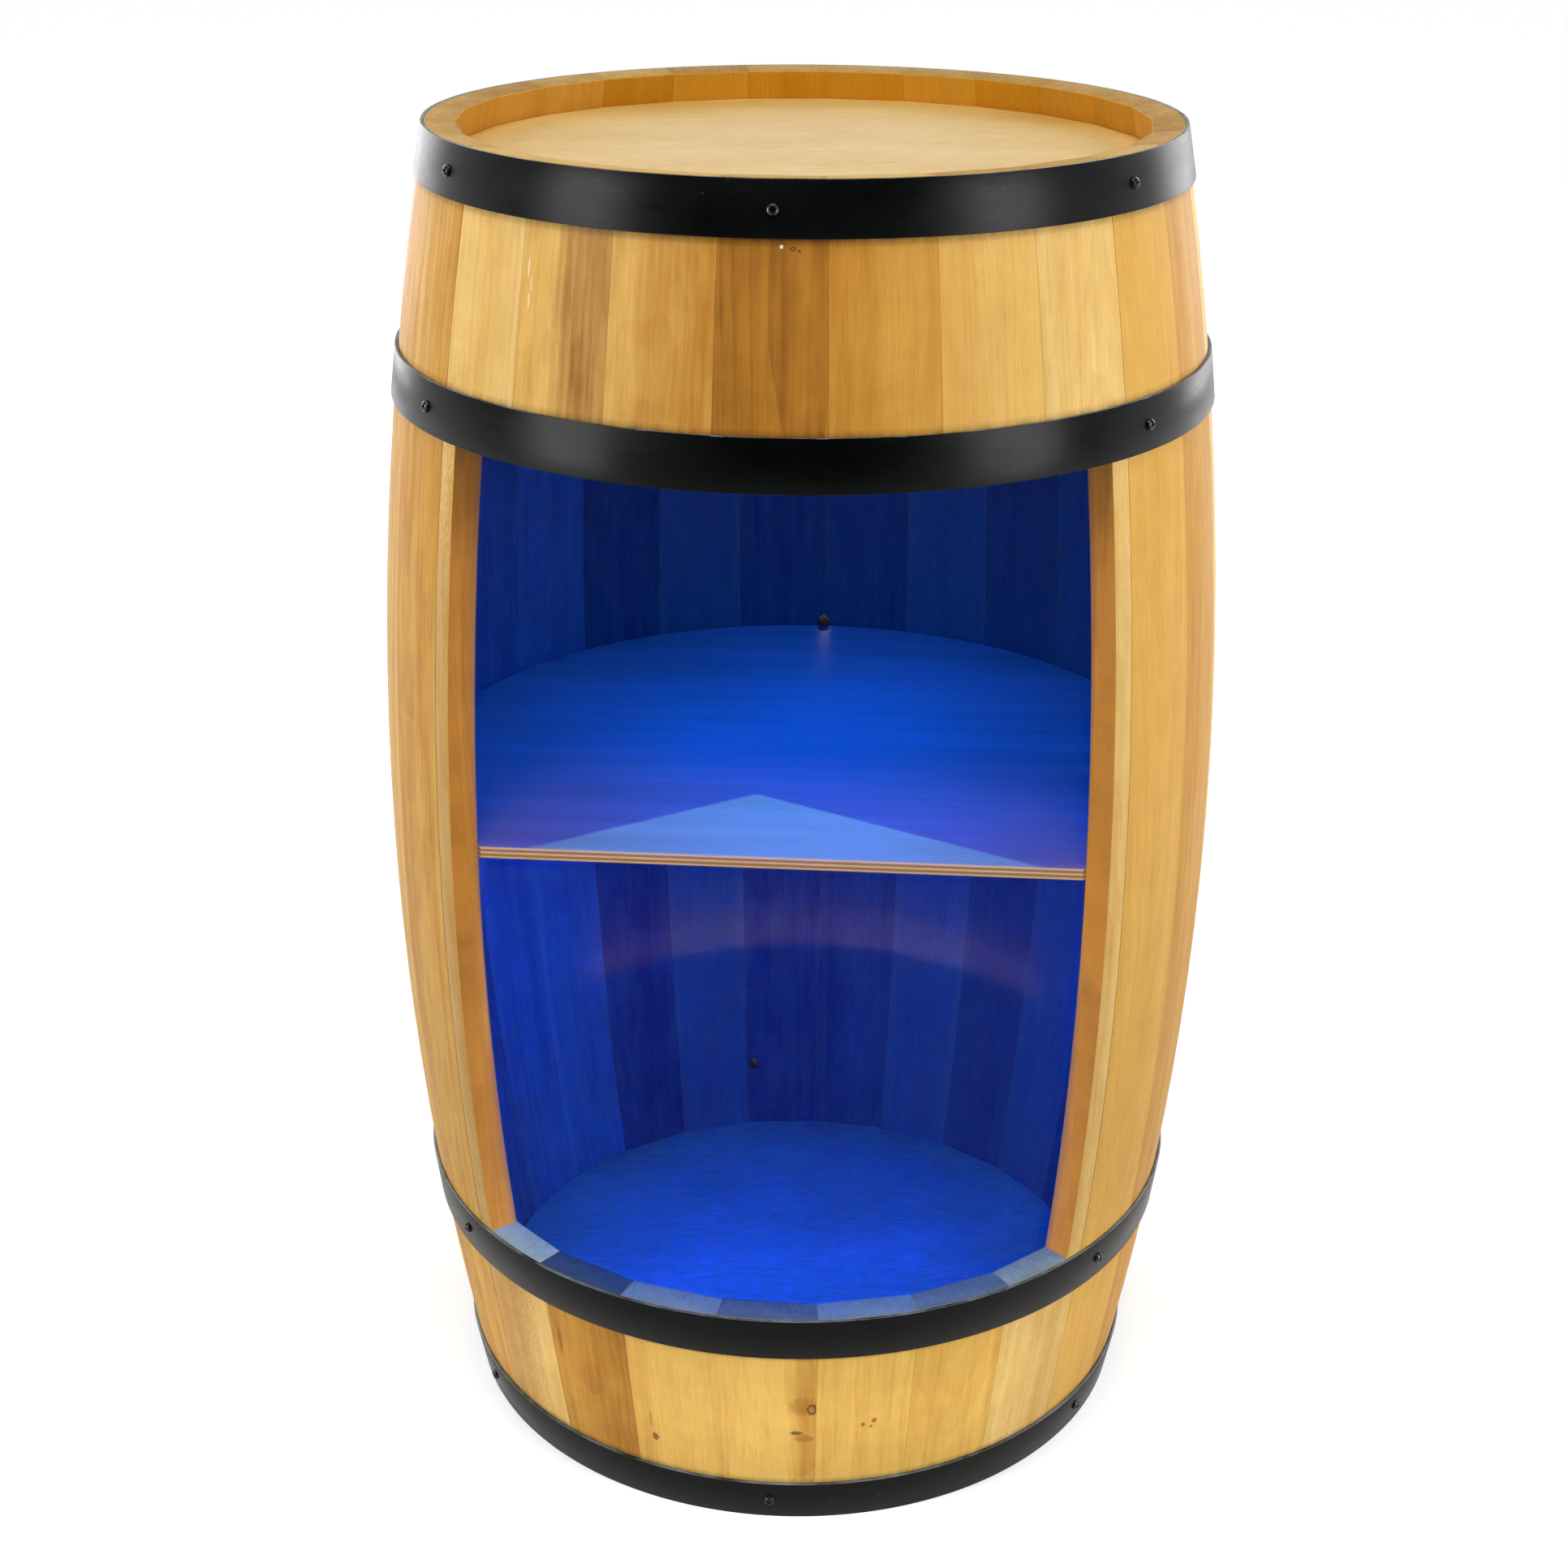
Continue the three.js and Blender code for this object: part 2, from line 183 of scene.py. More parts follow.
def stave_blank():
    bpy.ops.mesh.primitive_circle_add(
        vertices=STAVE_COUNT * STAVE_FACETS, radius=outside(0), location=(0, AXIS_Y, 0))
    blank = settle("stave_blank")
    edit()
    reach = outside(0) * math.sin(HALF_STAVE) + NEAR
    pick(lambda v: v.co.y > AXIS_Y or abs(v.co.x) > reach)
    bpy.ops.mesh.delete(type="VERT")
    # the foot, from the arc outside to the flat inside
    bpy.ops.mesh.select_all(action="SELECT")
    bpy.ops.mesh.extrude_region_move()
    squeeze = inside(0) / outside(0) * math.tan(HALF_STAVE) / math.sin(HALF_STAVE)
    resize(squeeze, 0, centre=(0, AXIS_Y - inside(0), 0))
    # up the bend, the outside and the flat inside each to its own radius
    for step in range(1, BEND_STEPS + 1):
        z = BARREL_HEIGHT * step / BEND_STEPS
        below = BARREL_HEIGHT * (step - 1) / BEND_STEPS
        pick_level(below, "faces")
        extrude_up(z - below)
        for radius_at, is_outside in ((outside, True), (inside, False)):
            limit = inside(below) + NEAR
            pick(lambda v: abs(v.co.z - z) < NEAR and (AXIS_Y - v.co.y > limit) == is_outside)
            grow = radius_at(z) / radius_at(below)
            resize(grow, grow)
    # a hair's breadth of glue line on each side
    for side in (-1, 1):
        pick(lambda v: side * math.atan2(v.co.x, AXIS_Y - v.co.y) > HALF_STAVE - SEAM_SLACK)
        bpy.ops.transform.translate(value=(-side * SEAM_GAP / 2, 0, 0))
    # the rim slopes down towards the inside
    rim_middle = outside(BARREL_HEIGHT) - STAVE_THICKNESS / 2
    pick(lambda v: v.co.z > BARREL_HEIGHT - NEAR and AXIS_Y - v.co.y < rim_middle)
    bpy.ops.transform.translate(value=(0, 0, -RIM_FALL))
    # both ends are eased along the outside and the inside
    pick(lambda e: is_end_arc(e.verts[0].co, e.verts[1].co), "edges")
    bpy.ops.mesh.bevel(offset=END_EASE, segments=3, affect="EDGES")
    close_up()
    for face in (TOP_FACE, FLOOR_FACE):
        middle = face - HEAD_THICKNESS / 2
        bpy.ops.mesh.primitive_cylinder_add(
            vertices=STAVE_COUNT * STAVE_FACETS, radius=inside(middle) + GROOVE_DEPTH,
            depth=TONGUE_THICKNESS + SEAM_GAP, location=(0, AXIS_Y, middle))
        cut(blank, bpy.context.object)
    return blank


def is_end_arc(a, b):
    at_end = all(p.z < NEAR or p.z > BARREL_HEIGHT - RIM_FALL - NEAR for p in (a, b))
    return at_end and abs(a.x - b.x) > abs(a.y - b.y) and abs(a.z - b.z) < NEAR


def copy_round(source, name, angle):
    """Copies a piece and carries the copy round the barrel."""
    choose(source)
    bpy.ops.object.duplicate()
    swing(angle)
    return settle(name)


def lay_grain(piece, angle):
    """Stores where each point lies in its board, (across, depth, along), for the grain to follow."""
    points = np.array([v.co for v in piece.data.vertices])
    x, y, z = points[:, 0], AXIS_Y - points[:, 1], points[:, 2]
    radius = np.hypot(x, y)
    turn = np.arctan2(x, y) - angle
    board = np.stack([radius * np.sin(turn), outside(z) - radius, z], axis=1)
    store = piece.data.attributes.new("board", "FLOAT_VECTOR", "POINT")
    store.data.foreach_set("vector", board.ravel())


def add(tree, kind, inputs=(), **settings):
    """Adds a shader node, with its settings, and its inputs as values or as links."""
    node = tree.nodes.new("ShaderNode" + kind)
    for key, value in settings.items():
        setattr(node, key, value)
    for key, value in dict(inputs).items():
        if isinstance(value, bpy.types.NodeSocket):
            tree.links.new(value, node.inputs[key])
        else:
            node.inputs[key].default_value = value
    return node


def calc(tree, operation, *values):
    return add(tree, "Math", dict(enumerate(values)), operation=operation).outputs[0]


def parts_of(tree, vector):
    return add(tree, "SeparateXYZ", {0: vector}).outputs


def length_of(tree, vector):
    return add(tree, "VectorMath", {0: vector}, operation="LENGTH").outputs["Value"]


def object_place(tree):
    return add(tree, "TexCoord").outputs["Object"]


def blend(tree, factor, first, second, how="MIX"):
    inputs = {0: factor, 6: first, 7: second}
    return add(tree, "Mix", inputs, data_type="RGBA", blend_type=how).outputs[2]


def spread(tree, value, low, high, to_low=0.0, to_high=1.0):
    """Stretches the part of a value from low to high over a new range."""
    inputs = {"Value": value, "From Min": low, "From Max": high, "To Min": to_low, "To Max": to_high}
    return add(tree, "MapRange", inputs).outputs[0]


def sway(tree, value, pattern, strength, middle=0.5):
    """Lets a pattern push a value up and down, by how far the pattern is from its middle."""
    return calc(tree, "MULTIPLY_ADD", calc(tree, "SUBTRACT", pattern, middle), strength, value)


def noise(tree, vector, scale, detail=2.0, roughness=0.5, shift=(0, 0, 0)):
    """Noise with its own scale along each axis, in waves to the metre."""
    placed = add(tree, "Mapping", {"Vector": vector, "Location": shift, "Scale": scale}).outputs[0]
    inputs = {"Vector": placed, "Scale": 1.0, "Detail": detail, "Roughness": roughness}
    return add(tree, "TexNoise", inputs).outputs[0]


def colour(red, green, blue):
    """A colour written as it looks on a screen, 0 to 255, as the shader wants it."""
    def linear(value):
        share = value / 255
        return share / 12.92 if share <= 0.04045 else ((share + 0.055) / 1.055) ** 2.4
    return (linear(red), linear(green), linear(blue), 1.0)


def new_finish(name):
    material = bpy.data.materials.new(name)
    material.use_nodes = True
    tree = material.node_tree
    return material, tree, tree.nodes["Principled BSDF"]


def set_colour(tree, shader, source):
    tree.links.new(source, shader.inputs["Base Color"])


def set_gloss(shader, roughness, specular=0.5):
    shader.inputs["Roughness"].default_value = roughness
    shader.inputs["Specular IOR Level"].default_value = specular


def set_bump(tree, shader, height, strength, distance):
    inputs = {"Height": height, "Strength": strength, "Distance": distance}
    tree.links.new(add(tree, "Bump", inputs).outputs[0], shader.inputs["Normal"])


TONES = {
    "cream": colour(242, 204, 128),
    "gold": colour(246, 200, 106),
    "straw": colour(229, 182, 94),
    "honey": colour(210, 156, 68),
    "amber": colour(186, 126, 46),
    "russet": colour(222, 150, 62),
    "chestnut": colour(152, 92, 28),
    "umber": colour(108, 60, 16),
}
RAW_WOOD = colour(130, 100, 94)
RAW_SHARE = 0.55
RIM_AMBER = colour(255, 184, 34)
RIM_SHARE = 0.62
RIM_BLUR = 1 * MM
# heights of the hoop edges, beside which a thin ragged line of shade is painted on the staves
HOOP_SHADE_EDGES = (771.5 * MM, 677.4 * MM, 132 * MM, 28.5 * MM)
HOOP_SHADE_WIDTH = 4 * MM
HOOP_SHADE_SHARE = 0.8
GRAIN_WANDER = 9 * MM
YEARS_PER_METRE = 270
HEARTWOOD_BLUR = 5 * MM
SKIN = (2 * MM, 4 * MM)  # depths at which marks on the outside fade and end
VARNISH_ENDS = (12 * MM, 17 * MM)  # depths between which the varnish of the outside ends
MARK_TONES = {
    "bark": colour(62, 34, 18),
    "knot": colour(142, 84, 34),
    "pitch": colour(168, 74, 40),
    "scrape": colour(252, 236, 204),
}


def mark(tree, board, wood, across, along, half_width, half_height, tone, share, is_ring):
    """Puts a small mark on the outside of a board, such as a knot, a chip or a worm hole, with a
    ragged edge, or as a ring only its outline. The sizes are in millimetres."""
    scale = (1 / (half_width * MM), 0, 1 / (half_height * MM))
    shift = (-across / half_width, 0, -along / half_height)
    placed = add(tree, "Mapping", {"Vector": board, "Location": shift, "Scale": scale}).outputs[0]
    away = length_of(tree, placed)
    ragged = noise(tree, board, (700, 700, 260), 2.0, 0.6)
    away = sway(tree, away, ragged, 0.9)
    shown = spread(tree, away, 0.75, 1.1, share, 0.0)
    if is_ring:
        shown = calc(tree, "MULTIPLY", shown, spread(tree, away, 0.45, 0.75, 0.25, 1.0))
    _, depth, _ = parts_of(tree, board)
    shown = calc(tree, "MULTIPLY", shown, spread(tree, depth, *SKIN, 1.0, 0.0))
    return blend(tree, shown, wood, MARK_TONES[tone])


def stave_wood(name, light, dark, share=0.45, lean=0.0, edge=0.0, figure=0.15, seed=0, marks=()):
    """Long-grained wood between two tones. With a lean, the board turns darker past a wavering edge,
    as where the heartwood starts, and the figure is how strongly its growth rings show."""
    material, tree, shader = new_finish(name)
    board = add(tree, "Attribute", attribute_name="board").outputs["Vector"]
    shift = (seed * 1.7, seed * 2.3, seed * 0.9)
    waver = noise(tree, board, (24, 14, 6), 2.0, 0.5, shift)
    wander = calc(tree, "MULTIPLY_ADD", waver, GRAIN_WANDER, -GRAIN_WANDER / 2)
    sideways = add(tree, "CombineXYZ", {0: wander}).outputs[0]
    grain = add(tree, "VectorMath", {0: board, 1: sideways}).outputs[0]
    across, depth, along = parts_of(tree, grain)
    # the tone: slow changes over the board, streaks, blotches and the arches of the growth rings
    broad = noise(tree, grain, (34, 24, 1.1), 2.0, 0.5, shift)
    streak = noise(tree, grain, (260, 180, 5), 4.0, 0.6, shift)
    cloud = noise(tree, board, (75, 50, 24), 3.0, 0.55, shift)
    # the rings run round the heart of the tree, which lies at another place behind each board
    heart = (seed % 5 * 6 * MM - 12 * MM, 28 * MM + seed % 3 * 8 * MM, -(seed * 7 % 11) * 8 * MM)
    drawn_out = {"Vector": grain, "Location": heart, "Scale": (1, 1, 0.1)}
    radius = length_of(tree, add(tree, "Mapping", drawn_out).outputs[0])
    uneven = calc(tree, "MULTIPLY", waver, 3.0)
    year = calc(tree, "FRACT", calc(tree, "MULTIPLY_ADD", radius, YEARS_PER_METRE, uneven))
    late = calc(tree, "POWER", year, 2.5)
    tone = sway(tree, share, broad, 1.0)
    tone = sway(tree, tone, streak, 0.85)
    tone = sway(tree, tone, cloud, 0.9)
    tone = sway(tree, tone, late, figure, 0.3)
    turn = spread(tree, across, edge - HEARTWOOD_BLUR, edge + HEARTWOOD_BLUR, -0.5, 0.5)
    tone = calc(tree, "MULTIPLY_ADD", turn, lean, tone)
    wood = blend(tree, spread(tree, tone, 0.0, 1.0), TONES[light], TONES[dark])
    # the inside of the cabinet is hardly varnished, and the rim round the tray has a thick amber coat
    inward = spread(tree, depth, *VARNISH_ENDS)
    above_tray = spread(tree, along, TOP_FACE - RIM_BLUR, TOP_FACE)
    raw = calc(tree, "MULTIPLY", calc(tree, "SUBTRACT", 1.0, above_tray), RAW_SHARE)
    wood = blend(tree, calc(tree, "MULTIPLY", inward, raw), wood, RAW_WOOD)
    coat = calc(tree, "MULTIPLY", above_tray, RIM_SHARE)
    wood = blend(tree, calc(tree, "MULTIPLY", inward, coat), wood, RIM_AMBER)
    # the light and dark of fibres, cross ripple, cut pores, and a thin ragged painted shade along the
    # hoop edges
    fibre = noise(tree, grain, (1000, 800, 26), 3.0, 0.6, shift)
    pore = noise(tree, grain, (1300, 1000, 120), 2.0, 0.5, shift)
    ripple = noise(tree, board, (60, 40, 90), 2.0, 0.5, shift)
    value = spread(tree, fibre, 0.3, 0.7, 0.93, 1.05)
    value = calc(tree, "MULTIPLY", value, spread(tree, ripple, 0.3, 0.7, 0.97, 1.03))
    value = calc(tree, "MULTIPLY", value, spread(tree, pore, 0.6, 0.7, 1.0, 0.92))
    for spot in marks:
        wood = mark(tree, board, wood, *spot)
    # painted shade: a thin ragged dark line on the outside of the staves right beside each hoop edge
    hoop_shade_mottle = noise(tree, board, (220, 100, 90), 3.0, 0.6, shift)
    hoop_shade_mottle = calc(tree, "MULTIPLY", hoop_shade_mottle, spread(tree, depth, *SKIN, 1.0, 0.0))
    for height in HOOP_SHADE_EDGES:
        away = calc(tree, "ABSOLUTE", calc(tree, "SUBTRACT", along, height))
        near = spread(tree, away, 0.0, HOOP_SHADE_WIDTH, HOOP_SHADE_SHARE, 0.0)
        unshaded = calc(tree, "SUBTRACT", 1.0, calc(tree, "MULTIPLY", near, hoop_shade_mottle))
        value = calc(tree, "MULTIPLY", value, unshaded)
    grey = add(tree, "CombineColor", {0: value, 1: value, 2: value}).outputs[0]
    set_colour(tree, shader, blend(tree, 1.0, wood, grey, "MULTIPLY"))
    tree.links.new(spread(tree, streak, 0.3, 0.7, 0.42, 0.56), shader.inputs["Roughness"])
    shader.inputs["Specular IOR Level"].default_value = 0.12
    set_bump(tree, shader, calc(tree, "MULTIPLY_ADD", pore, -0.5, fibre), 0.22, 0.25 * MM)
    return material


def end_grain(name, light, dark):
    """Ends across the grain, speckled by cut pores, each stave a little lighter or darker."""
    material, tree, shader = new_finish(name)
    x, y, _ = parts_of(tree, object_place(tree))
    turn = calc(tree, "ARCTAN2", x, calc(tree, "SUBTRACT", AXIS_Y, y))
    stave = calc(tree, "ROUND", calc(tree, "DIVIDE", turn, STAVE_ANGLE))
    chance = add(tree, "TexWhiteNoise", {"W": stave}, noise_dimensions="1D").outputs["Value"]
    board = add(tree, "Attribute", attribute_name="board").outputs["Vector"]
    patch = noise(tree, board, (70, 90, 30), 3.0, 0.6)
    speck = noise(tree, board, (900, 900, 300), 3.0, 0.7)
    rays = noise(tree, board, (700, 90, 200))
    tone = sway(tree, patch, speck, 1.1)
    tone = sway(tree, tone, rays, 0.9)
    tone = sway(tree, tone, chance, 0.7)
    set_colour(tree, shader, blend(tree, spread(tree, tone, 0.1, 0.9), light, dark))
    set_gloss(shader, 0.7, 0.2)
    set_bump(tree, shader, speck, 0.3, 0.3 * MM)
    return material


def cover(piece, material, test):
    """Gives the faces that pass the test a material of their own."""
    piece.data.materials.append(material)
    for face in piece.data.polygons:
        if test(face):
            face.material_index = len(piece.data.materials) - 1


DRILL_SIDES = 16


def drill(piece, radius, length, place, rotation):
    bpy.ops.mesh.primitive_cylinder_add(
        vertices=DRILL_SIDES, radius=radius, depth=length, location=place, rotation=rotation)
    cut(piece, bpy.context.object)


HOOP_WIDTH = 28 * MM
HOOP_THICKNESS = 2 * MM
HOOP_GAP = 0.15 * MM
HOOPS = {  # lower edge, and how much nearer the front its screws are than the middle of their stave
    "hoop_top": (771.5 * MM, math.radians(2.2)),
    "hoop_upper": (649.4 * MM, math.radians(2.9)),
    "hoop_lower": (132 * MM, math.radians(2.9)),
    "hoop_bottom": (0.5 * MM, math.radians(-2.6)),
}
END_HOOPS = ("hoop_top", "hoop_bottom")
SCREW_STAVES = (-8, -4, 0, 4, 8, 12)
SCREW_HOLE_RADIUS = 1.75 * MM
SCREW_HOLE_DEPTH = 14 * MM
LEAD_HOLE_RADIUS = 4 * MM
LEAD_HOLES = (  # angle, height inside, and the rise towards the outside
    (math.radians(180), 417 * MM, math.radians(8)),
    (math.radians(-167), 76 * MM, 0),
)


def lean_at(z):
    """How far the outside of the wood leans back from upright at a height."""
    return math.atan(4 * (BELLY_RADIUS - END_RADIUS) * (2 * z / BARREL_HEIGHT - 1) / BARREL_HEIGHT)


def screw_places(hoop):
    """The stave and the angle of each screw: one in every fourth stave, a little off its middle."""
    lead = HOOPS[hoop][1]
    for stave in SCREW_STAVES:
        if stave or hoop in END_HOOPS:
            side = (stave > 0) - (stave < 0)
            yield stave, stave * STAVE_ANGLE - side * lead


def drill_screw_hole(piece, hoop, angle):
    middle = HOOPS[hoop][0] + HOOP_WIDTH / 2
    place = polar(outside(middle), angle, middle)
    square_to_strip = (math.pi / 2 - lean_at(middle), 0, angle)
    drill(piece, SCREW_HOLE_RADIUS, 2 * SCREW_HOLE_DEPTH, place, square_to_strip)


def drill_stave(piece, stave):
    """The holes in a stave: for the screws of the hoops, and for the lead in the two at the back."""
    low, high = min(v.co.z for v in piece.data.vertices), max(v.co.z for v in piece.data.vertices)
    for hoop, (bottom, _) in HOOPS.items():
        for screwed, angle in screw_places(hoop):
            if screwed == stave and low <= bottom + HOOP_WIDTH / 2 <= high:
                drill_screw_hole(piece, hoop, angle)
    for angle, z, rise in LEAD_HOLES:
        if abs(math.remainder(angle - stave * STAVE_ANGLE, math.tau)) < HALF_STAVE + NEAR:
            place = polar(inside(z), angle, z)
            drill(piece, LEAD_HOLE_RADIUS, 4 * STAVE_THICKNESS, place, (math.pi / 2 - rise, 0, angle))


def is_in_lead_hole(face):
    for angle, z, rise in LEAD_HOLES:
        mouth = polar(inside(z), angle, z)
        way = Vector((math.sin(angle), -math.cos(angle), math.tan(rise))).normalized()
        is_near = (face.center - mouth).cross(way).length < LEAD_HOLE_RADIUS + NEAR
        if is_near and abs(face.normal.dot(way)) < 0.5:
            return True
    return False


stave_ends = end_grain("sanded stave ends", colour(214, 174, 104), colour(170, 126, 62))


def dress_stave(piece, stave, light, dark, **grain):
    """Drills a stave, lays its grain, shades it and hangs it on the frame."""
    drill_stave(piece, stave)
    lay_grain(piece, stave * STAVE_ANGLE)
    piece.data.materials.clear()
    piece.data.materials.append(stave_wood(piece.name + " wood", light, dark, **grain))
    cover(piece, stave_ends, lambda face: abs(face.normal.z) > 0.8)
    smooth(piece, 25)
    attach(piece, "root")


JAMB_STAVE = 3
BACK_STAVES = (12, -12)
# The bore of each lead hole is coloured near black as painted shade inside the hole.
lead_hole_shade = end_grain("scorched lead hole", colour(34, 20, 12), colour(16, 10, 8))
blank = stave_blank()
WHOLE_STAVES = {  # counted from the front: the light tone, the dark tone and the share of the dark
    4: ("straw", "honey", 0.45), 5: ("honey", "amber", 0.3), 6: ("cream", "honey", 0.4),
    7: ("straw", "amber", 0.3), 8: ("honey", "amber", 0.5), 9: ("straw", "honey", 0.5),
    10: ("honey", "amber", 0.6), 11: ("straw", "honey", 0.4), 12: ("honey", "chestnut", 0.3),
    -12: ("honey", "chestnut", 0.55), -11: ("straw", "honey", 0.6), -10: ("honey", "chestnut", 0.65),
    -9: ("cream", "honey", 0.25), -8: ("cream", "honey", 0.3), -7: ("straw", "amber", 0.3),
    -6: ("straw", "honey", 0.5), -5: ("straw", "amber", 0.5), -4: ("straw", "amber", 0.5),
}
for stave, (light, dark, share) in WHOLE_STAVES.items():
    number = (stave - JAMB_STAVE) if stave > 0 else (stave + STAVE_COUNT - JAMB_STAVE)
    piece = copy_round(blank, f"stave_{number}_timber", stave * STAVE_ANGLE)
    dress_stave(piece, stave, light, dark, share=share, seed=stave + 13)
    if stave in BACK_STAVES:
        # painted shade in the bore of the lead hole
        cover(piece, lead_hole_shade, is_in_lead_hole)
    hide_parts(f"stave_{number}")

# The two jamb staves, one on each side of the opening. They run the whole height like the others,
# but most of their width is sawn out between the two middle hoops, square to the barrel. The sawn
# side took up more of the varnish and is browner.
OPENING_HALF_ANGLE = math.radians(47.2)
OPENING_BOTTOM = 160 * MM
OPENING_TOP = 649.4 * MM
CUT_EASE = 0.4 * MM
WASTE_WIDTH = 100 * MM
WASTE_DEPTH = 150 * MM
WASTE_SETBACK = 25 * MM


def ease_edges(piece, width, segments=2, least_angle=30):
    """Rounds the edges where the faces turn by more than the least angle, in degrees."""
    ease = piece.modifiers.new("eased edges", "BEVEL")
    ease.width = width
    ease.segments = segments
    ease.limit_method = "ANGLE"
    ease.angle_limit = math.radians(least_angle)
    apply_modifiers(piece)


def box(size, place, turn=0.0):
    bpy.ops.mesh.primitive_cube_add(size=1, scale=size, location=place, rotation=(0, 0, turn))
    return bpy.context.object


# The sawn ends are rough and darker than the sanded rim, and their tone is darkened further as painted
# shade, since little light reaches the ledge of the opening.
sawn_ends_and_shade = end_grain("sawn stave ends", colour(136, 152, 122), colour(104, 118, 92))
jamb_side = stave_wood("sawn side of the jamb", "russet", "chestnut", share=0.25, figure=0.1, seed=5)
for side, name, stain in ((-1, "jamb_stave_left", 0.4), (1, "jamb_stave_right", 0.15)):
    piece = copy_round(blank, name + "_timber", side * JAMB_STAVE * STAVE_ANGLE)
    angle = side * OPENING_HALF_ANGLE
    waste = (WASTE_WIDTH, WASTE_DEPTH, OPENING_TOP - OPENING_BOTTOM)
    along = Vector((math.cos(angle), math.sin(angle), 0))
    place = polar(BELLY_RADIUS - WASTE_SETBACK, angle, (OPENING_BOTTOM + OPENING_TOP) / 2)
    place -= along * side * WASTE_WIDTH / 2
    cut(piece, box(waste, place, angle))
    ease_edges(piece, CUT_EASE, least_angle=60)
    # the wood is darker from the foot up to the upper hoop
    marks = ((side * 20, 300, 40, 360, "knot", stain, False),)
    dress_stave(piece, side * JAMB_STAVE, "cream", "honey", share=0.3, marks=marks, seed=40 + side)
    cover(piece, jamb_side, lambda face: face.normal.dot(along) * -side > 0.9)
    cover(piece, sawn_ends_and_shade, lambda face: (
        face.normal.z > 0.8 and abs(face.center.z - OPENING_BOTTOM) < 2 * CUT_EASE))
    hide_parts(name)

# The short staves close the front above and below the opening. Each is one of the front staves,
# sawn square where the opening starts, so a lower and an upper piece stand in line.
LOWER_STAVES = {  # light, dark, share, lean, edge in millimetres and figure, for stave_wood
    -2: ("honey", "chestnut", 0.4, 0.3, -2, 0.2), -1: ("gold", "honey", 0.15, -0.2, -14, 0.1),
    0: ("gold", "amber", 0.25, 0.6, 14, 0.15), 1: ("gold", "honey", 0.3, 0.0, 0, 0.25),
    2: ("gold", "honey", 0.4, 0.0, 0, 0.15),
}
UPPER_STAVES = {
    -2: ("straw", "chestnut", 0.3, 0.36, -1, 0.1), -1: ("straw", "amber", 0.55, 0.35, -12, 0.1),
    0: ("amber", "umber", 0.3, 0.0, 0, 0.25), 1: ("honey", "amber", 0.4, -0.5, -4, 0.15),
    2: ("straw", "honey", 0.25, -0.3, -8, 0.1),
}
MARKS = {  # across, along, half width and half height in millimetres, tone, share and is_ring, for mark
    "short_stave_upper_1": (
        (-23, 748, 0.5, 5, "scrape", 0.8, False), (-20.8, 741, 0.5, 4, "scrape", 0.6, False),
        (-21.8, 732, 0.6, 4, "scrape", 0.7, False)),
    "short_stave_upper_3": (
        (4.4, 768, 1.0, 1.0, "scrape", 0.9, False), (9.9, 767, 1.6, 1.2, "bark", 0.9, True),
        (13, 766, 1.0, 0.7, "bark", 0.7, False)),
    "short_stave_lower_0": ((21, 97, 1.6, 9, "bark", 0.45, False),),
    "short_stave_lower_1": ((-22, 104, 1.4, 12, "knot", 0.6, False),),
    "short_stave_lower_2": (
        (-15, 52, 2.2, 3.2, "pitch", 0.85, False), (-17, 66, 0.6, 9, "knot", 0.5, False)),
    "short_stave_lower_3": (
        (21, 92, 9, 8, "knot", 0.3, False), (25.6, 89.8, 3.0, 4.6, "bark", 0.9, True),
        (16.5, 70.5, 4, 1.6, "bark", 0.75, False), (21, 66, 6, 3.4, "pitch", 0.5, False)),
    "short_stave_lower_4": (
        (0, 75, 1.2, 1.8, "pitch", 0.8, False), (6.6, 77.4, 1.6, 2.0, "pitch", 0.8, False),
        (5, 73, 1, 1, "knot", 0.8, False)),
}
# Stave 0's sawn ends are browner with its board, and darkened like the others as painted shade.
half_brown_ends_and_shade = end_grain("half brown sawn stave ends", colour(108, 122, 104), colour(80, 92, 76))
# Stave -2's sawn ends, of a darker board, are darkened further as painted shadow of the left jamb.
brown_sawn_ends_in_jamb_shadow = end_grain("brown sawn stave ends", colour(66, 84, 80), colour(40, 52, 48))
for level, boards, height, keep, seed in (
        ("lower", LOWER_STAVES, OPENING_BOTTOM, "clear_outer", 70),
        ("upper", UPPER_STAVES, OPENING_TOP, "clear_inner", 80)):
    for stave, (light, dark, share, lean, edge, figure) in boards.items():
        name = f"short_stave_{level}_{stave + 3}"
        piece = copy_round(blank, name + "_timber", stave * STAVE_ANGLE)
        edit()
        bpy.ops.mesh.select_all(action="SELECT")
        bpy.ops.mesh.bisect(
            plane_co=(0, 0, height), plane_no=(0, 0, 1), use_fill=True, **{keep: True})
        pick_level(height)
        bpy.ops.mesh.bevel(offset=CUT_EASE, segments=2, affect="EDGES")
        leave()
        dress_stave(piece, stave, light, dark, share=share, lean=lean, edge=edge * MM, figure=figure,
                    seed=seed + stave, marks=MARKS.get(name, ()))
        # every sawn end carries painted shade in its tone, and stave -2's also a painted shadow of the
        # left jamb
        sawn = {-2: brown_sawn_ends_in_jamb_shadow, 0: half_brown_ends_and_shade}.get(stave, sawn_ends_and_shade)
        cover(piece, sawn, lambda face: (
            abs(face.normal.z) > 0.8 and abs(face.center.z - height) < 2 * CUT_EASE))
        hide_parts(name)

bpy.data.objects.remove(blank)

# The two heads: round boards of pale wood, let into the staves. A thinner tongue round the edge
# stands in the groove, and the board above it fits close to the staves. The top one is the tray.
HEAD_MARGIN = 0.3 * MM
TONGUE_REACH = 2.4 * MM
HEAD_EASE = 0.5 * MM
YELLOWING_AND_SHEEN_FROM = 90 * MM
YELLOWING_AND_SHEEN_FULL = 205 * MM


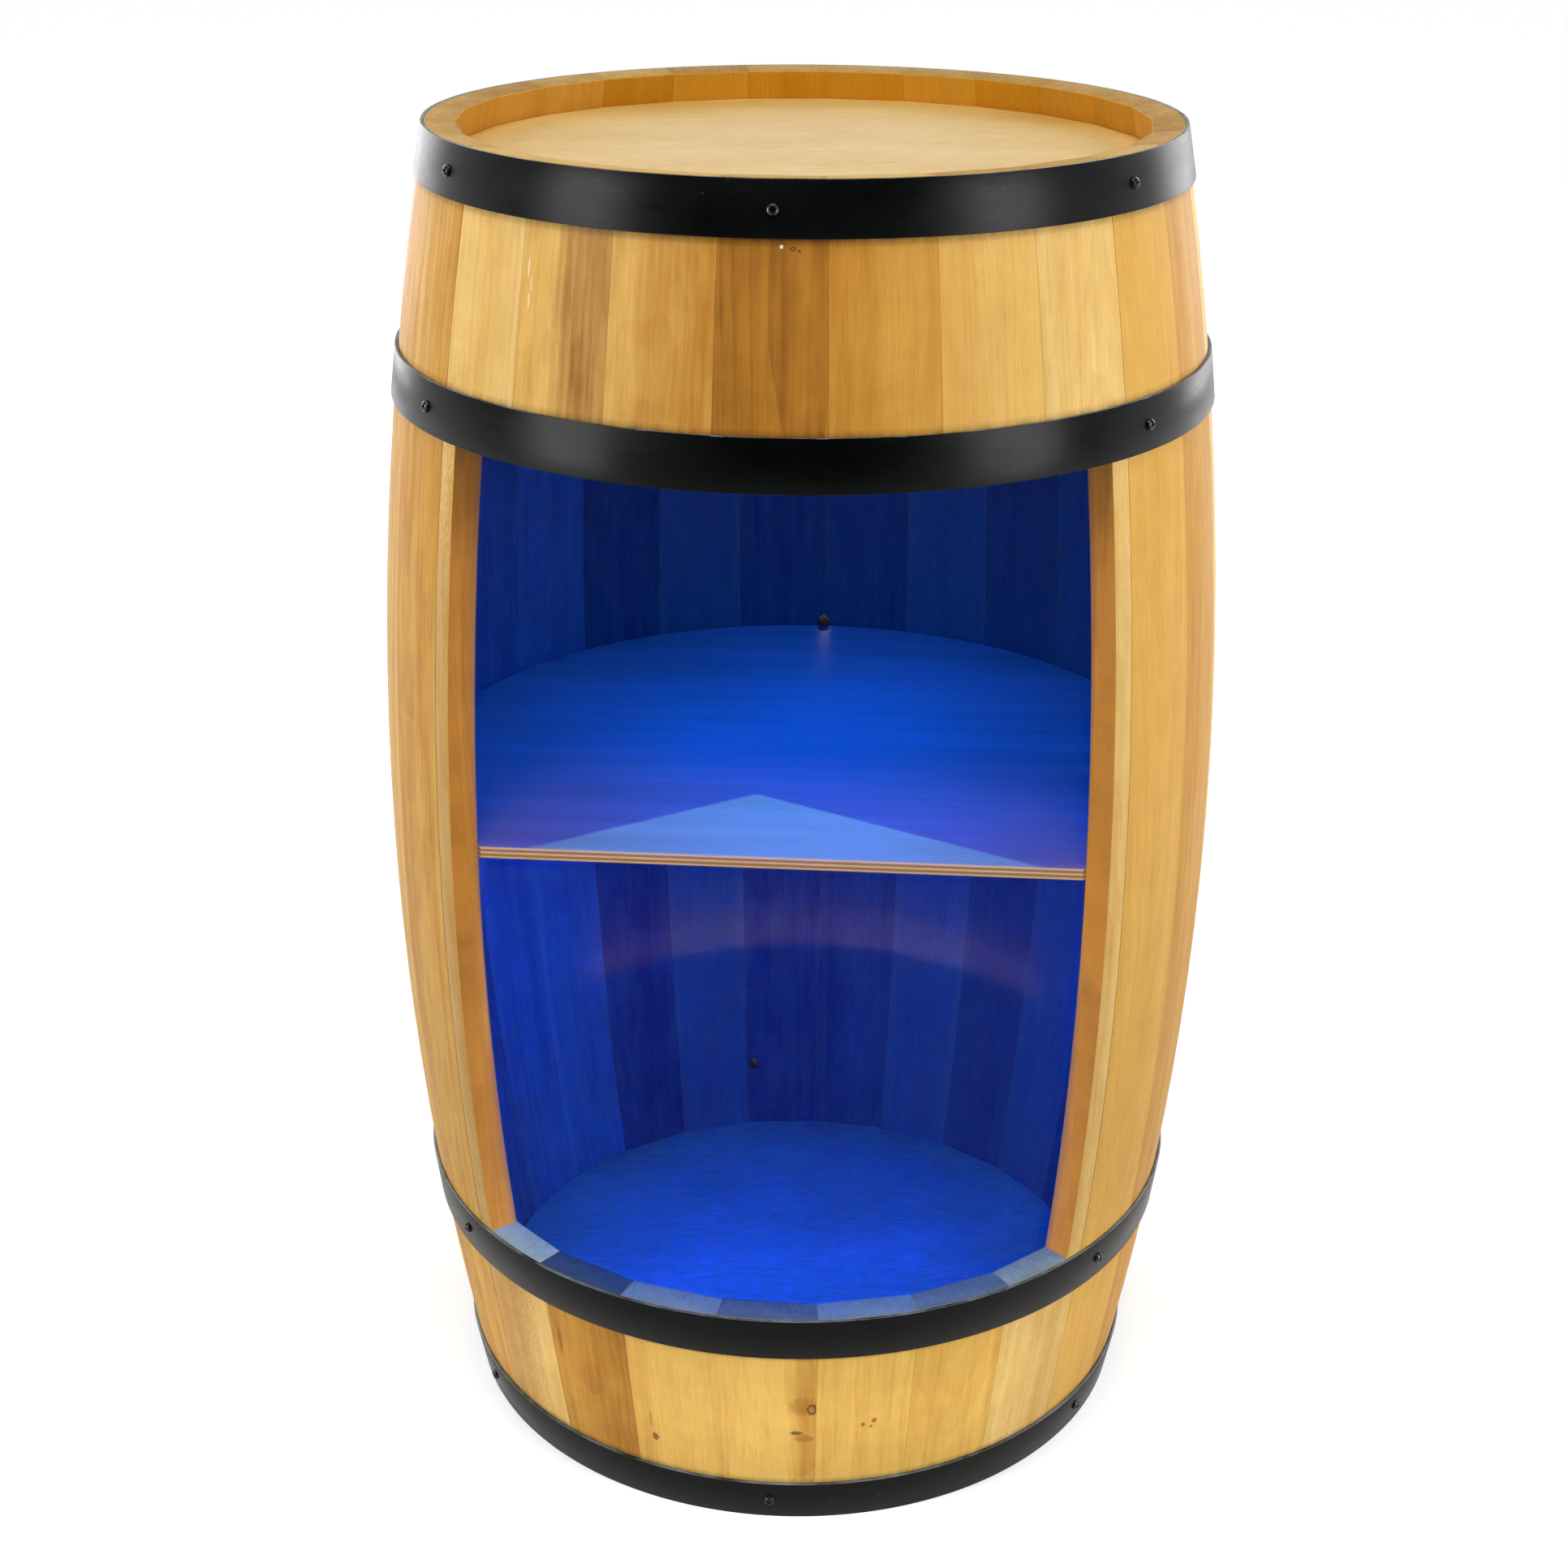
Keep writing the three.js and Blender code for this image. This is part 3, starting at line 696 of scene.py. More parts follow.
def build_up(radius, steps, centre=(0, AXIS_Y, 0)):
    """Extrudes the selected round upwards, each step by its own rise and to its own radius."""
    for rise, wanted in steps:
        extrude_up(rise)
        resize(wanted / radius, wanted / radius, centre=centre)
        radius = wanted


def head_shape(name, face):
    bottom = face - HEAD_THICKNESS
    lip = (HEAD_THICKNESS - TONGUE_THICKNESS) / 2
    middle = face - HEAD_THICKNESS / 2
    lower = (min(inside(bottom), inside(bottom + lip)) - HEAD_MARGIN) * FLATS_TO_CORNERS
    tongue = (inside(middle) + TONGUE_REACH) * FLATS_TO_CORNERS
    upper = (min(inside(face), inside(face - lip)) - HEAD_MARGIN) * FLATS_TO_CORNERS
    bpy.ops.mesh.primitive_circle_add(
        vertices=STAVE_COUNT, radius=lower, fill_type="NGON", location=(0, AXIS_Y, bottom))
    head = settle(name)
    edit()
    steps = ((lip, lower), (0, tongue), (TONGUE_THICKNESS, tongue), (0, upper), (lip, upper))
    build_up(lower, steps)
    pick_level(face)
    bpy.ops.mesh.bevel(offset=HEAD_EASE, segments=2, affect="EDGES")
    close_up()
    return head


def head_board(name):
    """Pale board with a fine mottle and a faint grain from side to side, yellower and darker near the
    rim, partly its own yellowing and partly painted light, the paler middle standing for the sheen of
    the lamps.
    """
    material, tree, shader = new_finish(name)
    place = object_place(tree)
    flat = {"Vector": place, "Location": (0, -AXIS_Y, 0), "Scale": (1, 1, 0)}
    from_axis = length_of(tree, add(tree, "Mapping", flat).outputs[0])
    place = add(tree, "Mapping", {"Vector": place, "Rotation": (0, 0, math.radians(-9))}).outputs[0]
    cloud = noise(tree, place, (9, 14, 9), 3.0, 0.5)
    grain = noise(tree, place, (70, 480, 300), 4.0, 0.65)
    speck = noise(tree, place, (500, 900, 700), 3.0, 0.7)
    tone = sway(tree, sway(tree, cloud, grain, 1.2), speck, 0.7)
    wood = blend(tree, spread(tree, tone, 0.15, 0.85), colour(232, 202, 142), colour(206, 168, 98))
    # partly painted light: darker and yellower towards the rim, so that the paler middle stands in for
    # the sheen of the lamps; partly the board's own yellowing
    yellowing_and_sheen = spread(tree, from_axis, YELLOWING_AND_SHEEN_FROM, YELLOWING_AND_SHEEN_FULL, 0.0, 0.8)
    wood = blend(tree, yellowing_and_sheen, wood, colour(248, 232, 166), "MULTIPLY")
    set_colour(tree, shader, wood)
    set_gloss(shader, 0.5)
    set_bump(tree, shader, speck, 0.12, 0.2 * MM)
    return material


head_finish = head_board("head board")
for name, face in (("top_head", TOP_FACE), ("floor_head", FLOOR_FACE)):
    head = head_shape(name + "_board", face)
    head.data.materials.append(head_finish)
    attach(head, "root")
    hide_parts(name)

# The shelf: a round of five-ply birch, cut straight across the front between the jambs, with a
# round-ended notch in the back edge that lets a lead past. It lies on four glue blocks.
SHELF_FACE = 415 * MM
SHELF_THICKNESS = 7 * MM
SHELF_RADIUS = 231.4 * MM
SHELF_FRONT = SHELF_RADIUS * math.cos(OPENING_HALF_ANGLE)
NOTCH_WIDTH = 8 * MM
NOTCH_DEPTH = 11 * MM
SHELF_EASE = 0.35 * MM
PLY_COUNT = 5


def shelf_shape():
    bpy.ops.mesh.primitive_circle_add(
        vertices=STAVE_COUNT * STAVE_FACETS, radius=SHELF_RADIUS, fill_type="NGON",
        location=(0, AXIS_Y, SHELF_FACE - SHELF_THICKNESS))
    shelf = settle("shelf_plywood")
    edit()
    bpy.ops.mesh.bisect(
        plane_co=(0, AXIS_Y - SHELF_FRONT, 0), plane_no=(0, -1, 0), clear_outer=True)
    bpy.ops.mesh.select_all(action="SELECT")
    extrude_up(SHELF_THICKNESS)
    close_up()
    notch = AXIS_Y + SHELF_RADIUS - NOTCH_DEPTH + NOTCH_WIDTH / 2
    middle = SHELF_FACE - SHELF_THICKNESS / 2
    drill(shelf, NOTCH_WIDTH / 2, 4 * SHELF_THICKNESS, (0, notch, middle), (0, 0, 0))
    slot = (NOTCH_WIDTH, 2 * NOTCH_DEPTH, 4 * SHELF_THICKNESS)
    cut(shelf, box(slot, (0, notch + NOTCH_DEPTH, middle)))
    ease_edges(shelf, SHELF_EASE, least_angle=50)
    return shelf


def mottled(name, light, dark, patterns, span, roughness, bump=0.0, depth=0.2 * MM, metallic=0.0):
    """A finish between two colours. Each pattern has its scale, detail, fineness and how strongly it
    sways the tone, and the last one can also stand out as a bump."""
    material, tree, shader = new_finish(name)
    place = object_place(tree)
    tone = 0.5
    for scale, detail, fineness, strength in patterns:
        pattern = noise(tree, place, scale, detail, fineness)
        tone = sway(tree, tone, pattern, strength)
    set_colour(tree, shader, blend(tree, spread(tree, tone, *span), light, dark))
    set_gloss(shader, roughness)
    shader.inputs["Metallic"].default_value = metallic
    if bump:
        set_bump(tree, shader, pattern, bump, depth)
    return material


def ply_edge(name):
    """Five plies on edge, long grain and end grain by turns, with thin dark glue lines."""
    material, tree, shader = new_finish(name)
    place = object_place(tree)
    _, _, height = parts_of(tree, place)
    plies_per_metre = PLY_COUNT / SHELF_THICKNESS
    underside = SHELF_FACE - SHELF_THICKNESS
    ply = calc(tree, "MULTIPLY_ADD", height, plies_per_metre, -underside * plies_per_metre)
    within = calc(tree, "FRACT", ply)
    turn = calc(tree, "MODULO", calc(tree, "FLOOR", ply), 2.0)
    fibre = noise(tree, place, (60, 60, 1500), 3.0, 0.6)
    pits = noise(tree, place, (900, 900, 1200), 3.0, 0.7)
    long_ply = blend(tree, fibre, colour(232, 198, 132), colour(196, 150, 84))
    cross_ply = blend(tree, pits, colour(186, 136, 74), colour(118, 76, 36))
    wood = blend(tree, turn, long_ply, cross_ply)
    off_middle = calc(tree, "ABSOLUTE", calc(tree, "SUBTRACT", within, 0.5))
    glue = calc(tree, "MULTIPLY", calc(tree, "GREATER_THAN", off_middle, 0.44), 0.75)
    set_colour(tree, shader, blend(tree, glue, wood, colour(92, 58, 28)))
    set_gloss(shader, 0.65)
    set_bump(tree, shader, pits, 0.2, 0.2 * MM)
    return material


shelf = shelf_shape()
# the veneer is rotary cut, with soft wandering bands and fine flecks across the shelf
shelf.data.materials.append(mottled(
    "shelf veneer", colour(228, 188, 120), colour(206, 162, 96), span=(0.2, 0.8), roughness=0.45,
    patterns=(
        ((5, 7, 5), 2.0, 0.5, 1.0), ((4, 60, 60), 3.0, 0.55, 1.0), ((120, 800, 800), 3.0, 0.6, 0.5)),
    bump=0.12))
cover(shelf, ply_edge("shelf plies on edge"), lambda face: abs(face.normal.z) < 0.5)
smooth(shelf, 25)
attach(shelf, "root")
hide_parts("shelf")

# Four glue blocks of pine carry the shelf, each glued to the flat of one stave. The lower front
# edge is sawn off at a slope.
BLOCK_WIDTH = 36 * MM
BLOCK_HEIGHT = 18 * MM
BLOCK_DEPTH = 14 * MM
BLOCK_TOE = 5 * MM
BLOCK_GAP = 0.2 * MM
BLOCK_EASE = 0.5 * MM
BLOCK_STAVES = (5, 10, -10, -5)
block_finish = mottled(
    "glue block pine", colour(222, 190, 132), colour(190, 146, 86), span=(0.2, 0.8), roughness=0.7,
    patterns=(((30, 30, 60), 2.0, 0.5, 1.0), ((60, 60, 700), 3.0, 0.6, 1.2)),
    bump=0.3, depth=0.3 * MM)
block_top = SHELF_FACE - SHELF_THICKNESS - BLOCK_GAP
block_middle = block_top - BLOCK_HEIGHT / 2
block_back = min(inside(block_top), inside(block_top - BLOCK_HEIGHT)) - BLOCK_GAP
block_front = AXIS_Y - block_back + BLOCK_DEPTH
for number, stave in enumerate(BLOCK_STAVES, 1):
    box((BLOCK_WIDTH, BLOCK_DEPTH, BLOCK_HEIGHT), (0, block_front - BLOCK_DEPTH / 2, block_middle))
    block = settle(f"shelf_block_{number}_pine")
    edit()
    pick(lambda e: all(
        abs(v.co.y - block_front) < NEAR and v.co.z < block_middle for v in e.verts), "edges")
    bpy.ops.mesh.bevel(offset=BLOCK_DEPTH - BLOCK_TOE, segments=1, affect="EDGES")
    leave()
    swing(stave * STAVE_ANGLE)
    settle(block.name)
    ease_edges(block, BLOCK_EASE)
    block.data.materials.append(block_finish)
    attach(block, "root")
    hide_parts(f"shelf_block_{number}")

# The lighting: two lengths of blue LED strip in a soft milky sleeve. One is stuck behind the short
# staves above the opening, and one under the front of the shelf.
STRIP_WIDTH = 10 * MM
STRIP_THICKNESS = 3 * MM
STRIP_GAP = 0.3 * MM
UPPER_STRIP_SETBACK = 6 * MM
UPPER_STRIP_SHORTFALL = math.radians(4.2)
LOWER_STRIP_INSET = 12 * MM
LOWER_STRIP_SHORTFALL = 20 * MM
STRIP_STEPS = 44
DIODE_PITCH = 16.7 * MM
SLEEVE_EASE = 1 * MM
DIODE_BLUE = (0.0, 0.032, 1.0, 1.0)
AT_DIODE = 1.3  # shares of the mean strength
BETWEEN_DIODES = 0.55
UPPER_STRENGTH = 900.0
UPPER_SIDE_SHARE = 0.06
LOWER_STRENGTH = 840.0
LOWER_SIDE_SHARE = 0.3


def lit_sleeve(name, strength, side_share):
    """Milky sleeve over diodes that look down: brightest underneath, and over each diode. The side
    share is how much of that brightness the other faces have."""
    material, tree, shader = new_finish(name)
    run = add(tree, "Attribute", attribute_name="run").outputs["Fac"]
    wave = calc(tree, "COSINE", calc(tree, "MULTIPLY", run, math.tau / DIODE_PITCH))
    glow = spread(tree, wave, -1.0, 1.0, BETWEEN_DIODES * strength, AT_DIODE * strength)
    _, _, rise = parts_of(tree, add(tree, "NewGeometry").outputs["Normal"])
    glow = calc(tree, "MULTIPLY", glow, spread(tree, rise, -0.9, -0.5, 1.0, side_share))
    shader.inputs["Base Color"].default_value = colour(214, 224, 240)
    set_gloss(shader, 0.3)
    shader.inputs["Emission Color"].default_value = DIODE_BLUE
    tree.links.new(glow, shader.inputs["Emission Strength"])
    return material


def lay_run(piece, lengths):
    store = piece.data.attributes.new("run", "FLOAT", "POINT")
    store.data.foreach_set("value", lengths)


strip_bottom = OPENING_TOP + UPPER_STRIP_SETBACK
strip_outside = inside(strip_bottom + STRIP_WIDTH) - STRIP_GAP
strip_half_angle = OPENING_HALF_ANGLE - UPPER_STRIP_SHORTFALL
strip_middle = (0, AXIS_Y - strip_outside + STRIP_THICKNESS / 2, strip_bottom + STRIP_WIDTH / 2)
bpy.ops.mesh.primitive_plane_add(size=1, location=strip_middle, rotation=(0, math.pi / 2, 0))
strip = settle("led_strip_upper_sleeve")
resize(1, STRIP_THICKNESS, STRIP_WIDTH, centre=strip_middle)
settle(strip.name)
edit()
bpy.ops.mesh.select_all(action="SELECT")
swing(strip_half_angle)
bpy.ops.mesh.spin(
    steps=STRIP_STEPS, angle=2 * strip_half_angle, center=(0, AXIS_Y, 0), axis=(0, 0, 1))
bpy.ops.mesh.select_all(action="SELECT")
bpy.ops.mesh.remove_doubles(threshold=NEAR)
close_up()
lay_run(strip, [strip_outside * math.atan2(v.co.x, AXIS_Y - v.co.y) for v in strip.data.vertices])
strip.data.materials.append(lit_sleeve("upper strip sleeve", UPPER_STRENGTH, UPPER_SIDE_SHARE))
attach(strip, "root")
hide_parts("led_strip_upper")

strip_length = 2 * (SHELF_RADIUS * math.sin(OPENING_HALF_ANGLE) - LOWER_STRIP_SHORTFALL)
strip_y = AXIS_Y - SHELF_FRONT + LOWER_STRIP_INSET + STRIP_WIDTH / 2
strip_z = SHELF_FACE - SHELF_THICKNESS - STRIP_GAP - STRIP_THICKNESS / 2
box((strip_length, STRIP_WIDTH, STRIP_THICKNESS), (0, strip_y, strip_z))
strip = settle("led_strip_lower_sleeve")
edit()
bpy.ops.mesh.select_all(action="SELECT")
bpy.ops.mesh.subdivide(number_cuts=1)
leave()
ease_edges(strip, SLEEVE_EASE, segments=3)
lay_run(strip, [v.co.x for v in strip.data.vertices])
strip.data.materials.append(lit_sleeve("lower strip sleeve", LOWER_STRENGTH, LOWER_SIDE_SHARE))
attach(strip, "root")
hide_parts("led_strip_lower")

# The controller of the strips: a small white box of moulded plastic with rounded corners and edges.
# It is stuck to the underside of the top head, behind the upper strip.
CONTROLLER = (62 * MM, 35 * MM, 18 * MM)
CONTROLLER_CORNER = 4 * MM
CONTROLLER_SETBACK = 30 * MM
CONTROLLER_EASE = 0.8 * MM
controller_top = TOP_FACE - HEAD_THICKNESS - STRIP_GAP
controller_y = AXIS_Y - strip_outside + STRIP_THICKNESS + CONTROLLER_SETBACK + CONTROLLER[1] / 2
box(CONTROLLER, (0, controller_y, controller_top - CONTROLLER[2] / 2))
controller = settle("led_controller_case")
edit()
pick(lambda e: abs(e.verts[0].co.z - e.verts[1].co.z) > NEAR, "edges")
bpy.ops.mesh.bevel(offset=CONTROLLER_CORNER, segments=5, affect="EDGES")
leave()
ease_edges(controller, CONTROLLER_EASE, segments=3, least_angle=50)
controller.data.materials.append(mottled(
    "controller plastic", colour(240, 240, 236), colour(226, 226, 222), span=(0.0, 1.0),
    roughness=0.42, patterns=(((1500, 1500, 1500), 2.0, 0.5, 1.0),), bump=0.15, depth=0.1 * MM))
smooth(controller, 40)
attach(controller, "root")
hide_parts("led_controller")

# The four hoops: flat steel strip rolled to a ring that follows the slope of the staves, painted
# satin black. The cut edges have lost their paint in places and show bare, and their pale grey is
# partly a painted highlight.
HOOP_SEGMENTS = 225
HOOP_EASE = 0.3 * MM


def black_paint(name):
    """Satin black paint with faint brush lines along the strip, a few scuffs and dust specks."""
    material, tree, shader = new_finish(name)
    place = object_place(tree)
    cloud = noise(tree, place, (14, 14, 30), 3.0, 0.6)
    brush = noise(tree, place, (40, 40, 900), 3.0, 0.6)
    dust = noise(tree, place, (420, 420, 420))
    paint = blend(tree, spread(tree, cloud, 0.3, 0.7), colour(4, 5, 5), colour(8, 10, 10))
    specks = spread(tree, dust, 0.76, 0.8, 0.0, 0.3)
    set_colour(tree, shader, blend(tree, specks, paint, colour(110, 112, 110)))
    rough = sway(tree, spread(tree, cloud, 0.3, 0.7, 0.26, 0.36), brush, 0.12)
    tree.links.new(rough, shader.inputs["Roughness"])
    shader.inputs["Specular IOR Level"].default_value = 0.13
    set_bump(tree, shader, brush, 0.1, 0.1 * MM)
    return material


hoop_paint = black_paint("hoop paint")
# the sawn edge is half bare steel and half paint, and its pale grey is partly a painted highlight
hoop_edge_wear_and_highlight = mottled(
    "hoop bare edge", colour(18, 20, 21), colour(110, 124, 128), span=(0.35, 0.65), roughness=0.42,
    patterns=(((40, 40, 400), 4.0, 0.65, 1.0),))


def hoop_shape(name, bottom):
    """The strip as a tapered ring, thickened outwards and eased along its edges."""
    middle = bottom + HOOP_WIDTH / 2
    bpy.ops.mesh.primitive_cone_add(
        vertices=HOOP_SEGMENTS, radius1=outside(bottom) + HOOP_GAP,
        radius2=outside(bottom + HOOP_WIDTH) + HOOP_GAP, depth=HOOP_WIDTH, end_fill_type="NOTHING",
        location=(0, AXIS_Y, middle))
    hoop = settle(name)
    solid = hoop.modifiers.new("strip", "SOLIDIFY")
    solid.thickness = HOOP_THICKNESS
    solid.offset = 1
    ease_edges(hoop, HOOP_EASE, least_angle=50)
    for _, angle in screw_places(name):
        drill_screw_hole(hoop, name, angle)
    return hoop


for name, (bottom, _) in HOOPS.items():
    hoop = hoop_shape(name, bottom)
    hoop.name = hoop.data.name = name + "_strip"
    hoop.data.materials.append(hoop_paint)
    # the top and bottom edges: worn bare steel, with a painted highlight in its pale grey
    cover(hoop, hoop_edge_wear_and_highlight, lambda face: abs(face.normal.z) > 0.5)
    smooth(hoop, 30)
    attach(hoop, "root")
    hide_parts(name)

# The screws that hold the hoops: black oxided steel, with a low round head and a cross recess.
# One is modelled upright and copied to each place, square to the sloping strip.
SCREW_RADIUS = 1.6 * MM
HEAD_RADIUS = 3.25 * MM
HEAD_HEIGHT = 2.2 * MM
SHANK_LENGTH = 13 * MM
CROWN = (  # how far each ring of the head rises above the one below, and its share of the radius
    (0.5 * MM, 1), (0.7 * MM, 0.93), (0.55 * MM, 0.76), (0.33 * MM, 0.52), (0.12 * MM, 0.2))
TIP_RADIUS = 0.5 * MM
TIP_LENGTH = 4 * MM
RECESS = (3.7 * MM, 0.85 * MM, 2.4 * MM)  # each of the two boxes that cut the cross
SCREW_SIDES = 24


def screw_shape():
    bpy.ops.mesh.primitive_circle_add(
        vertices=SCREW_SIDES, radius=TIP_RADIUS, fill_type="NGON", location=(0, 0, -SHANK_LENGTH))
    screw = settle("screw")
    edit()
    steps = [(TIP_LENGTH, SCREW_RADIUS), (SHANK_LENGTH - TIP_LENGTH, SCREW_RADIUS), (0, HEAD_RADIUS)]
    steps += [(rise, share * HEAD_RADIUS) for rise, share in CROWN]
    build_up(TIP_RADIUS, steps, centre=(0, 0, 0))
    close_up()
    for turn in (0, math.pi / 2):
        cut(screw, box(RECESS, (0, 0, HEAD_HEIGHT), turn))
    return screw


screw = screw_shape()
# the oxide has worn to grey steel on the crown
screw_finish = mottled(
    "screw oxide", colour(24, 24, 25), colour(92, 92, 92), span=(0.45, 0.7), roughness=0.3,
    patterns=(((500, 500, 500), 3.0, 0.6, 1.0),), bump=0.1, depth=0.1 * MM, metallic=0.85)
SCREW_NODES_BESIDE_OPENING = (-4, 4)  # the frame has no node for the others of a middle hoop
for hoop, (bottom, _) in HOOPS.items():
    middle = bottom + HOOP_WIDTH / 2
    seat = outside(middle) + HOOP_GAP + HOOP_THICKNESS
    numbered = SCREW_STAVES if hoop in END_HOOPS else SCREW_NODES_BESIDE_OPENING
    for stave, angle in screw_places(hoop):
        choose(screw)
        bpy.ops.object.duplicate()
        copy = bpy.context.object
        copy.rotation_euler = (math.pi / 2 - lean_at(middle), 0, angle)
        copy.location = polar(seat, angle, middle)
        side = "left" if stave < 0 else "right"
        node = f"{hoop}_screw_{numbered.index(stave) + 1}" if stave in numbered else ""
        copy = settle(node + "_steel" if node else f"{hoop}_screw_at_stave_{abs(stave)}_{side}")
        copy.data.materials.append(screw_finish)
        smooth(copy, 35)
        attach(copy, "root")
        if node:
            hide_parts(node)
bpy.data.objects.remove(screw)

# The studio: white paper under and behind the cabinet, and soft boxes beside it, behind it, above it
# and low in front. Each lamp is linked to the pieces that it lights, because a box on one side would
# shine through the opening on the inside of the other. The room in front is dark, as the hoops show.
FLOOR_SIZE = 60
PAPER_GLOW_NEAR = 0.5
PAPER_GLOW_FAR = 0.97
PAPER_GLOW_RUN = (0.6, 2.5)  # how far from the middle the glow starts and ends to grow
PAPER_BEHIND = (-0.6, 0.4)  # from front to back, where the paper turns white in reflections
WORLD_BEHIND = (-0.3, 0.3)  # the same for the directions round the cabinet
bpy.ops.mesh.primitive_plane_add(size=FLOOR_SIZE, location=(0, 0, 0))
floor = settle("studio_floor")
floor_finish, tree, shader = new_finish("floor paper")
place = object_place(tree)
mottle = noise(tree, place, (3, 3, 3))
set_colour(tree, shader, blend(tree, mottle, (0.8, 0.8, 0.8, 1), (0.82, 0.82, 0.82, 1)))
set_gloss(shader, 0.9, 0.1)


def seen_share(tree, share, behind):
    """A share for what the camera sees and for the part behind the cabinet that a reflection or
    glass shows, and none for the light on the object."""
    path = add(tree, "LightPath").outputs
    mirrored = calc(tree, "MAXIMUM", path["Is Glossy Ray"], path["Is Transmission Ray"])
    mirrored = calc(tree, "MULTIPLY", mirrored, behind)
    seen = calc(tree, "MAXIMUM", path["Is Camera Ray"], mirrored)
    return calc(tree, "MULTIPLY", seen, share)


glow = spread(tree, length_of(tree, place), *PAPER_GLOW_RUN, PAPER_GLOW_NEAR, PAPER_GLOW_FAR)
behind = spread(tree, parts_of(tree, place)[1], *PAPER_BEHIND)
white = add(tree, "Emission", {"Strength": seen_share(tree, glow, behind)}).outputs[0]
both = add(tree, "AddShader", {0: shader.outputs[0], 1: white}).outputs[0]
# the paper throws no light back into the cabinet
dull = add(tree, "BsdfDiffuse", {"Color": (0, 0, 0, 1)}).outputs[0]
bounced = add(tree, "LightPath").outputs["Is Diffuse Ray"]
both = add(tree, "MixShader", {0: bounced, 1: both, 2: dull}).outputs[0]
tree.links.new(both, tree.nodes["Material Output"].inputs["Surface"])
floor.data.materials.append(floor_finish)
world = bpy.data.worlds.new("studio")
bpy.context.scene.world = world
world.use_nodes = True
tree = world.node_tree
tree.nodes["Background"].inputs["Color"].default_value = (1, 1, 1, 1)
direction = add(tree, "TexCoord").outputs["Generated"]
behind = spread(tree, parts_of(tree, direction)[1], *WORLD_BEHIND)
tree.links.new(seen_share(tree, 1.0, behind), tree.nodes["Background"].inputs["Strength"])


def new_lamp(name, kind, power, place):
    lamp = bpy.data.lights.new(name, kind)
    lamp.energy = power
    holder = bpy.data.objects.new(name, lamp)
    bpy.context.scene.collection.objects.link(holder)
    holder.location = place
    return holder


def soft_box(name, azimuth, distance, height, size, power, target):
    """A rectangular lamp that looks at the target. The azimuth is in degrees from the front."""
    angle = math.radians(azimuth)
    place = Vector((distance * math.sin(angle), -distance * math.cos(angle), height))
    holder = new_lamp(name, "AREA", power, place)
    holder.data.shape = "RECTANGLE"
    holder.data.size, holder.data.size_y = size
    holder.rotation_euler = (Vector(target) - place).to_track_quat("-Z", "Y").to_euler()
    return holder


def link_light(lamp, pieces, state):
    """Lets a lamp light only some of the pieces, or keeps its light off them."""
    group = bpy.data.collections.new(lamp.name + "_pieces")
    lamp.light_linking.receiver_collection = group
    for piece in pieces:
        group.objects.link(piece)
    for entry in group.collection_objects:
        entry.light_linking.link_state = state


def pieces_called(*starts):
    return [obj for obj in bpy.data.objects if obj.name.startswith(starts)]


# the whole staves are numbered from the right of the opening round the back to its left
RIGHT_NUMBERS = range(1, 12)
LEFT_NUMBERS = range(8, 19)
right_staves = [bpy.data.objects[f"stave_{number}_timber"] for number in RIGHT_NUMBERS]
left_staves = [bpy.data.objects[f"stave_{number}_timber"] for number in LEFT_NUMBERS]
lower_staves = pieces_called("short_stave_lower")
inner_pieces = pieces_called("shelf", "floor_head", "led_")
MIDDLE = (0, 0, 0.42)
SOFT_BOXES = {  # azimuth, distance, height, size, power, target and the pieces kept out of the light
    "soft_box_left": (-58, 2.3, 0.85, (0.9, 1.9), 43.5, MIDDLE, inner_pieces + right_staves),
    "soft_box_right": (60, 2.3, 0.85, (0.9, 1.9), 46, MIDDLE, inner_pieces + left_staves),
    "soft_box_back_left": (-140, 2.6, 1.1, (1.2, 1.8), 24, MIDDLE, inner_pieces),
    "soft_box_back_right": (140, 2.6, 1.1, (1.2, 1.8), 24, MIDDLE, inner_pieces),
    "soft_box_top": (0, 0.7, 2.6, (1.6, 1.2), 32, (0, 0, 0.78), inner_pieces + lower_staves),
    "soft_box_low": (0, 1.8, 0.08, (1.8, 0.12), 0.31, (0, 0, 0.08), inner_pieces),
}
EDGE_BOX = (0, 1.6, 0.4, (1.2, 0.02), 17, (0, 0, 0.4))  # it lights the front edge of the shelf
LOW_BOX_SPREAD = math.radians(6)
for name, (*numbers, kept_out) in SOFT_BOXES.items():
    link_light(soft_box(name, *numbers), kept_out, "EXCLUDE")
bpy.data.lights["soft_box_low"].spread = LOW_BOX_SPREAD
link_light(soft_box("soft_box_edge", *EDGE_BOX), pieces_called("shelf_plywood"), "INCLUDE")

# Three lamps that don't show stand in for light inside. Two soft blue discs, under the tray and under
# the front of the shelf, add to the strips. A small projector throws a pale wedge on the front of the
# shelf, where the light of both soft boxes falls in between the jambs.
TRAY_LAMP_SPREAD = math.radians(80)
PROJECTOR_HEIGHT = 740 * MM
PROJECTOR_SETOUT = 110 * MM
PROJECTOR_POWER = 3.9
PROJECTOR_TINT = (0.09, 0.42, 0.7)
PROJECTOR_CONE = math.radians(70)
PROJECTOR_RADIUS = 0.5 * MM
WEDGE_TIP = (-20.8 * MM, -68.3 * MM)
WEDGE_LEFT_RUN = 1.386
WEDGE_RIGHT_RUN = 1.906
WEDGE_SOFTNESS = 2.5 * MM


def blue_disc(name, size, power, tint, setback, height):
    """A round lamp that looks down, set back from the axis of the barrel."""
    disc = new_lamp(name, "AREA", power, (0, AXIS_Y + setback, height))
    disc.data.shape = "DISK"
    disc.data.size = size
    disc.data.color = tint
    disc.visible_camera = False
    return disc


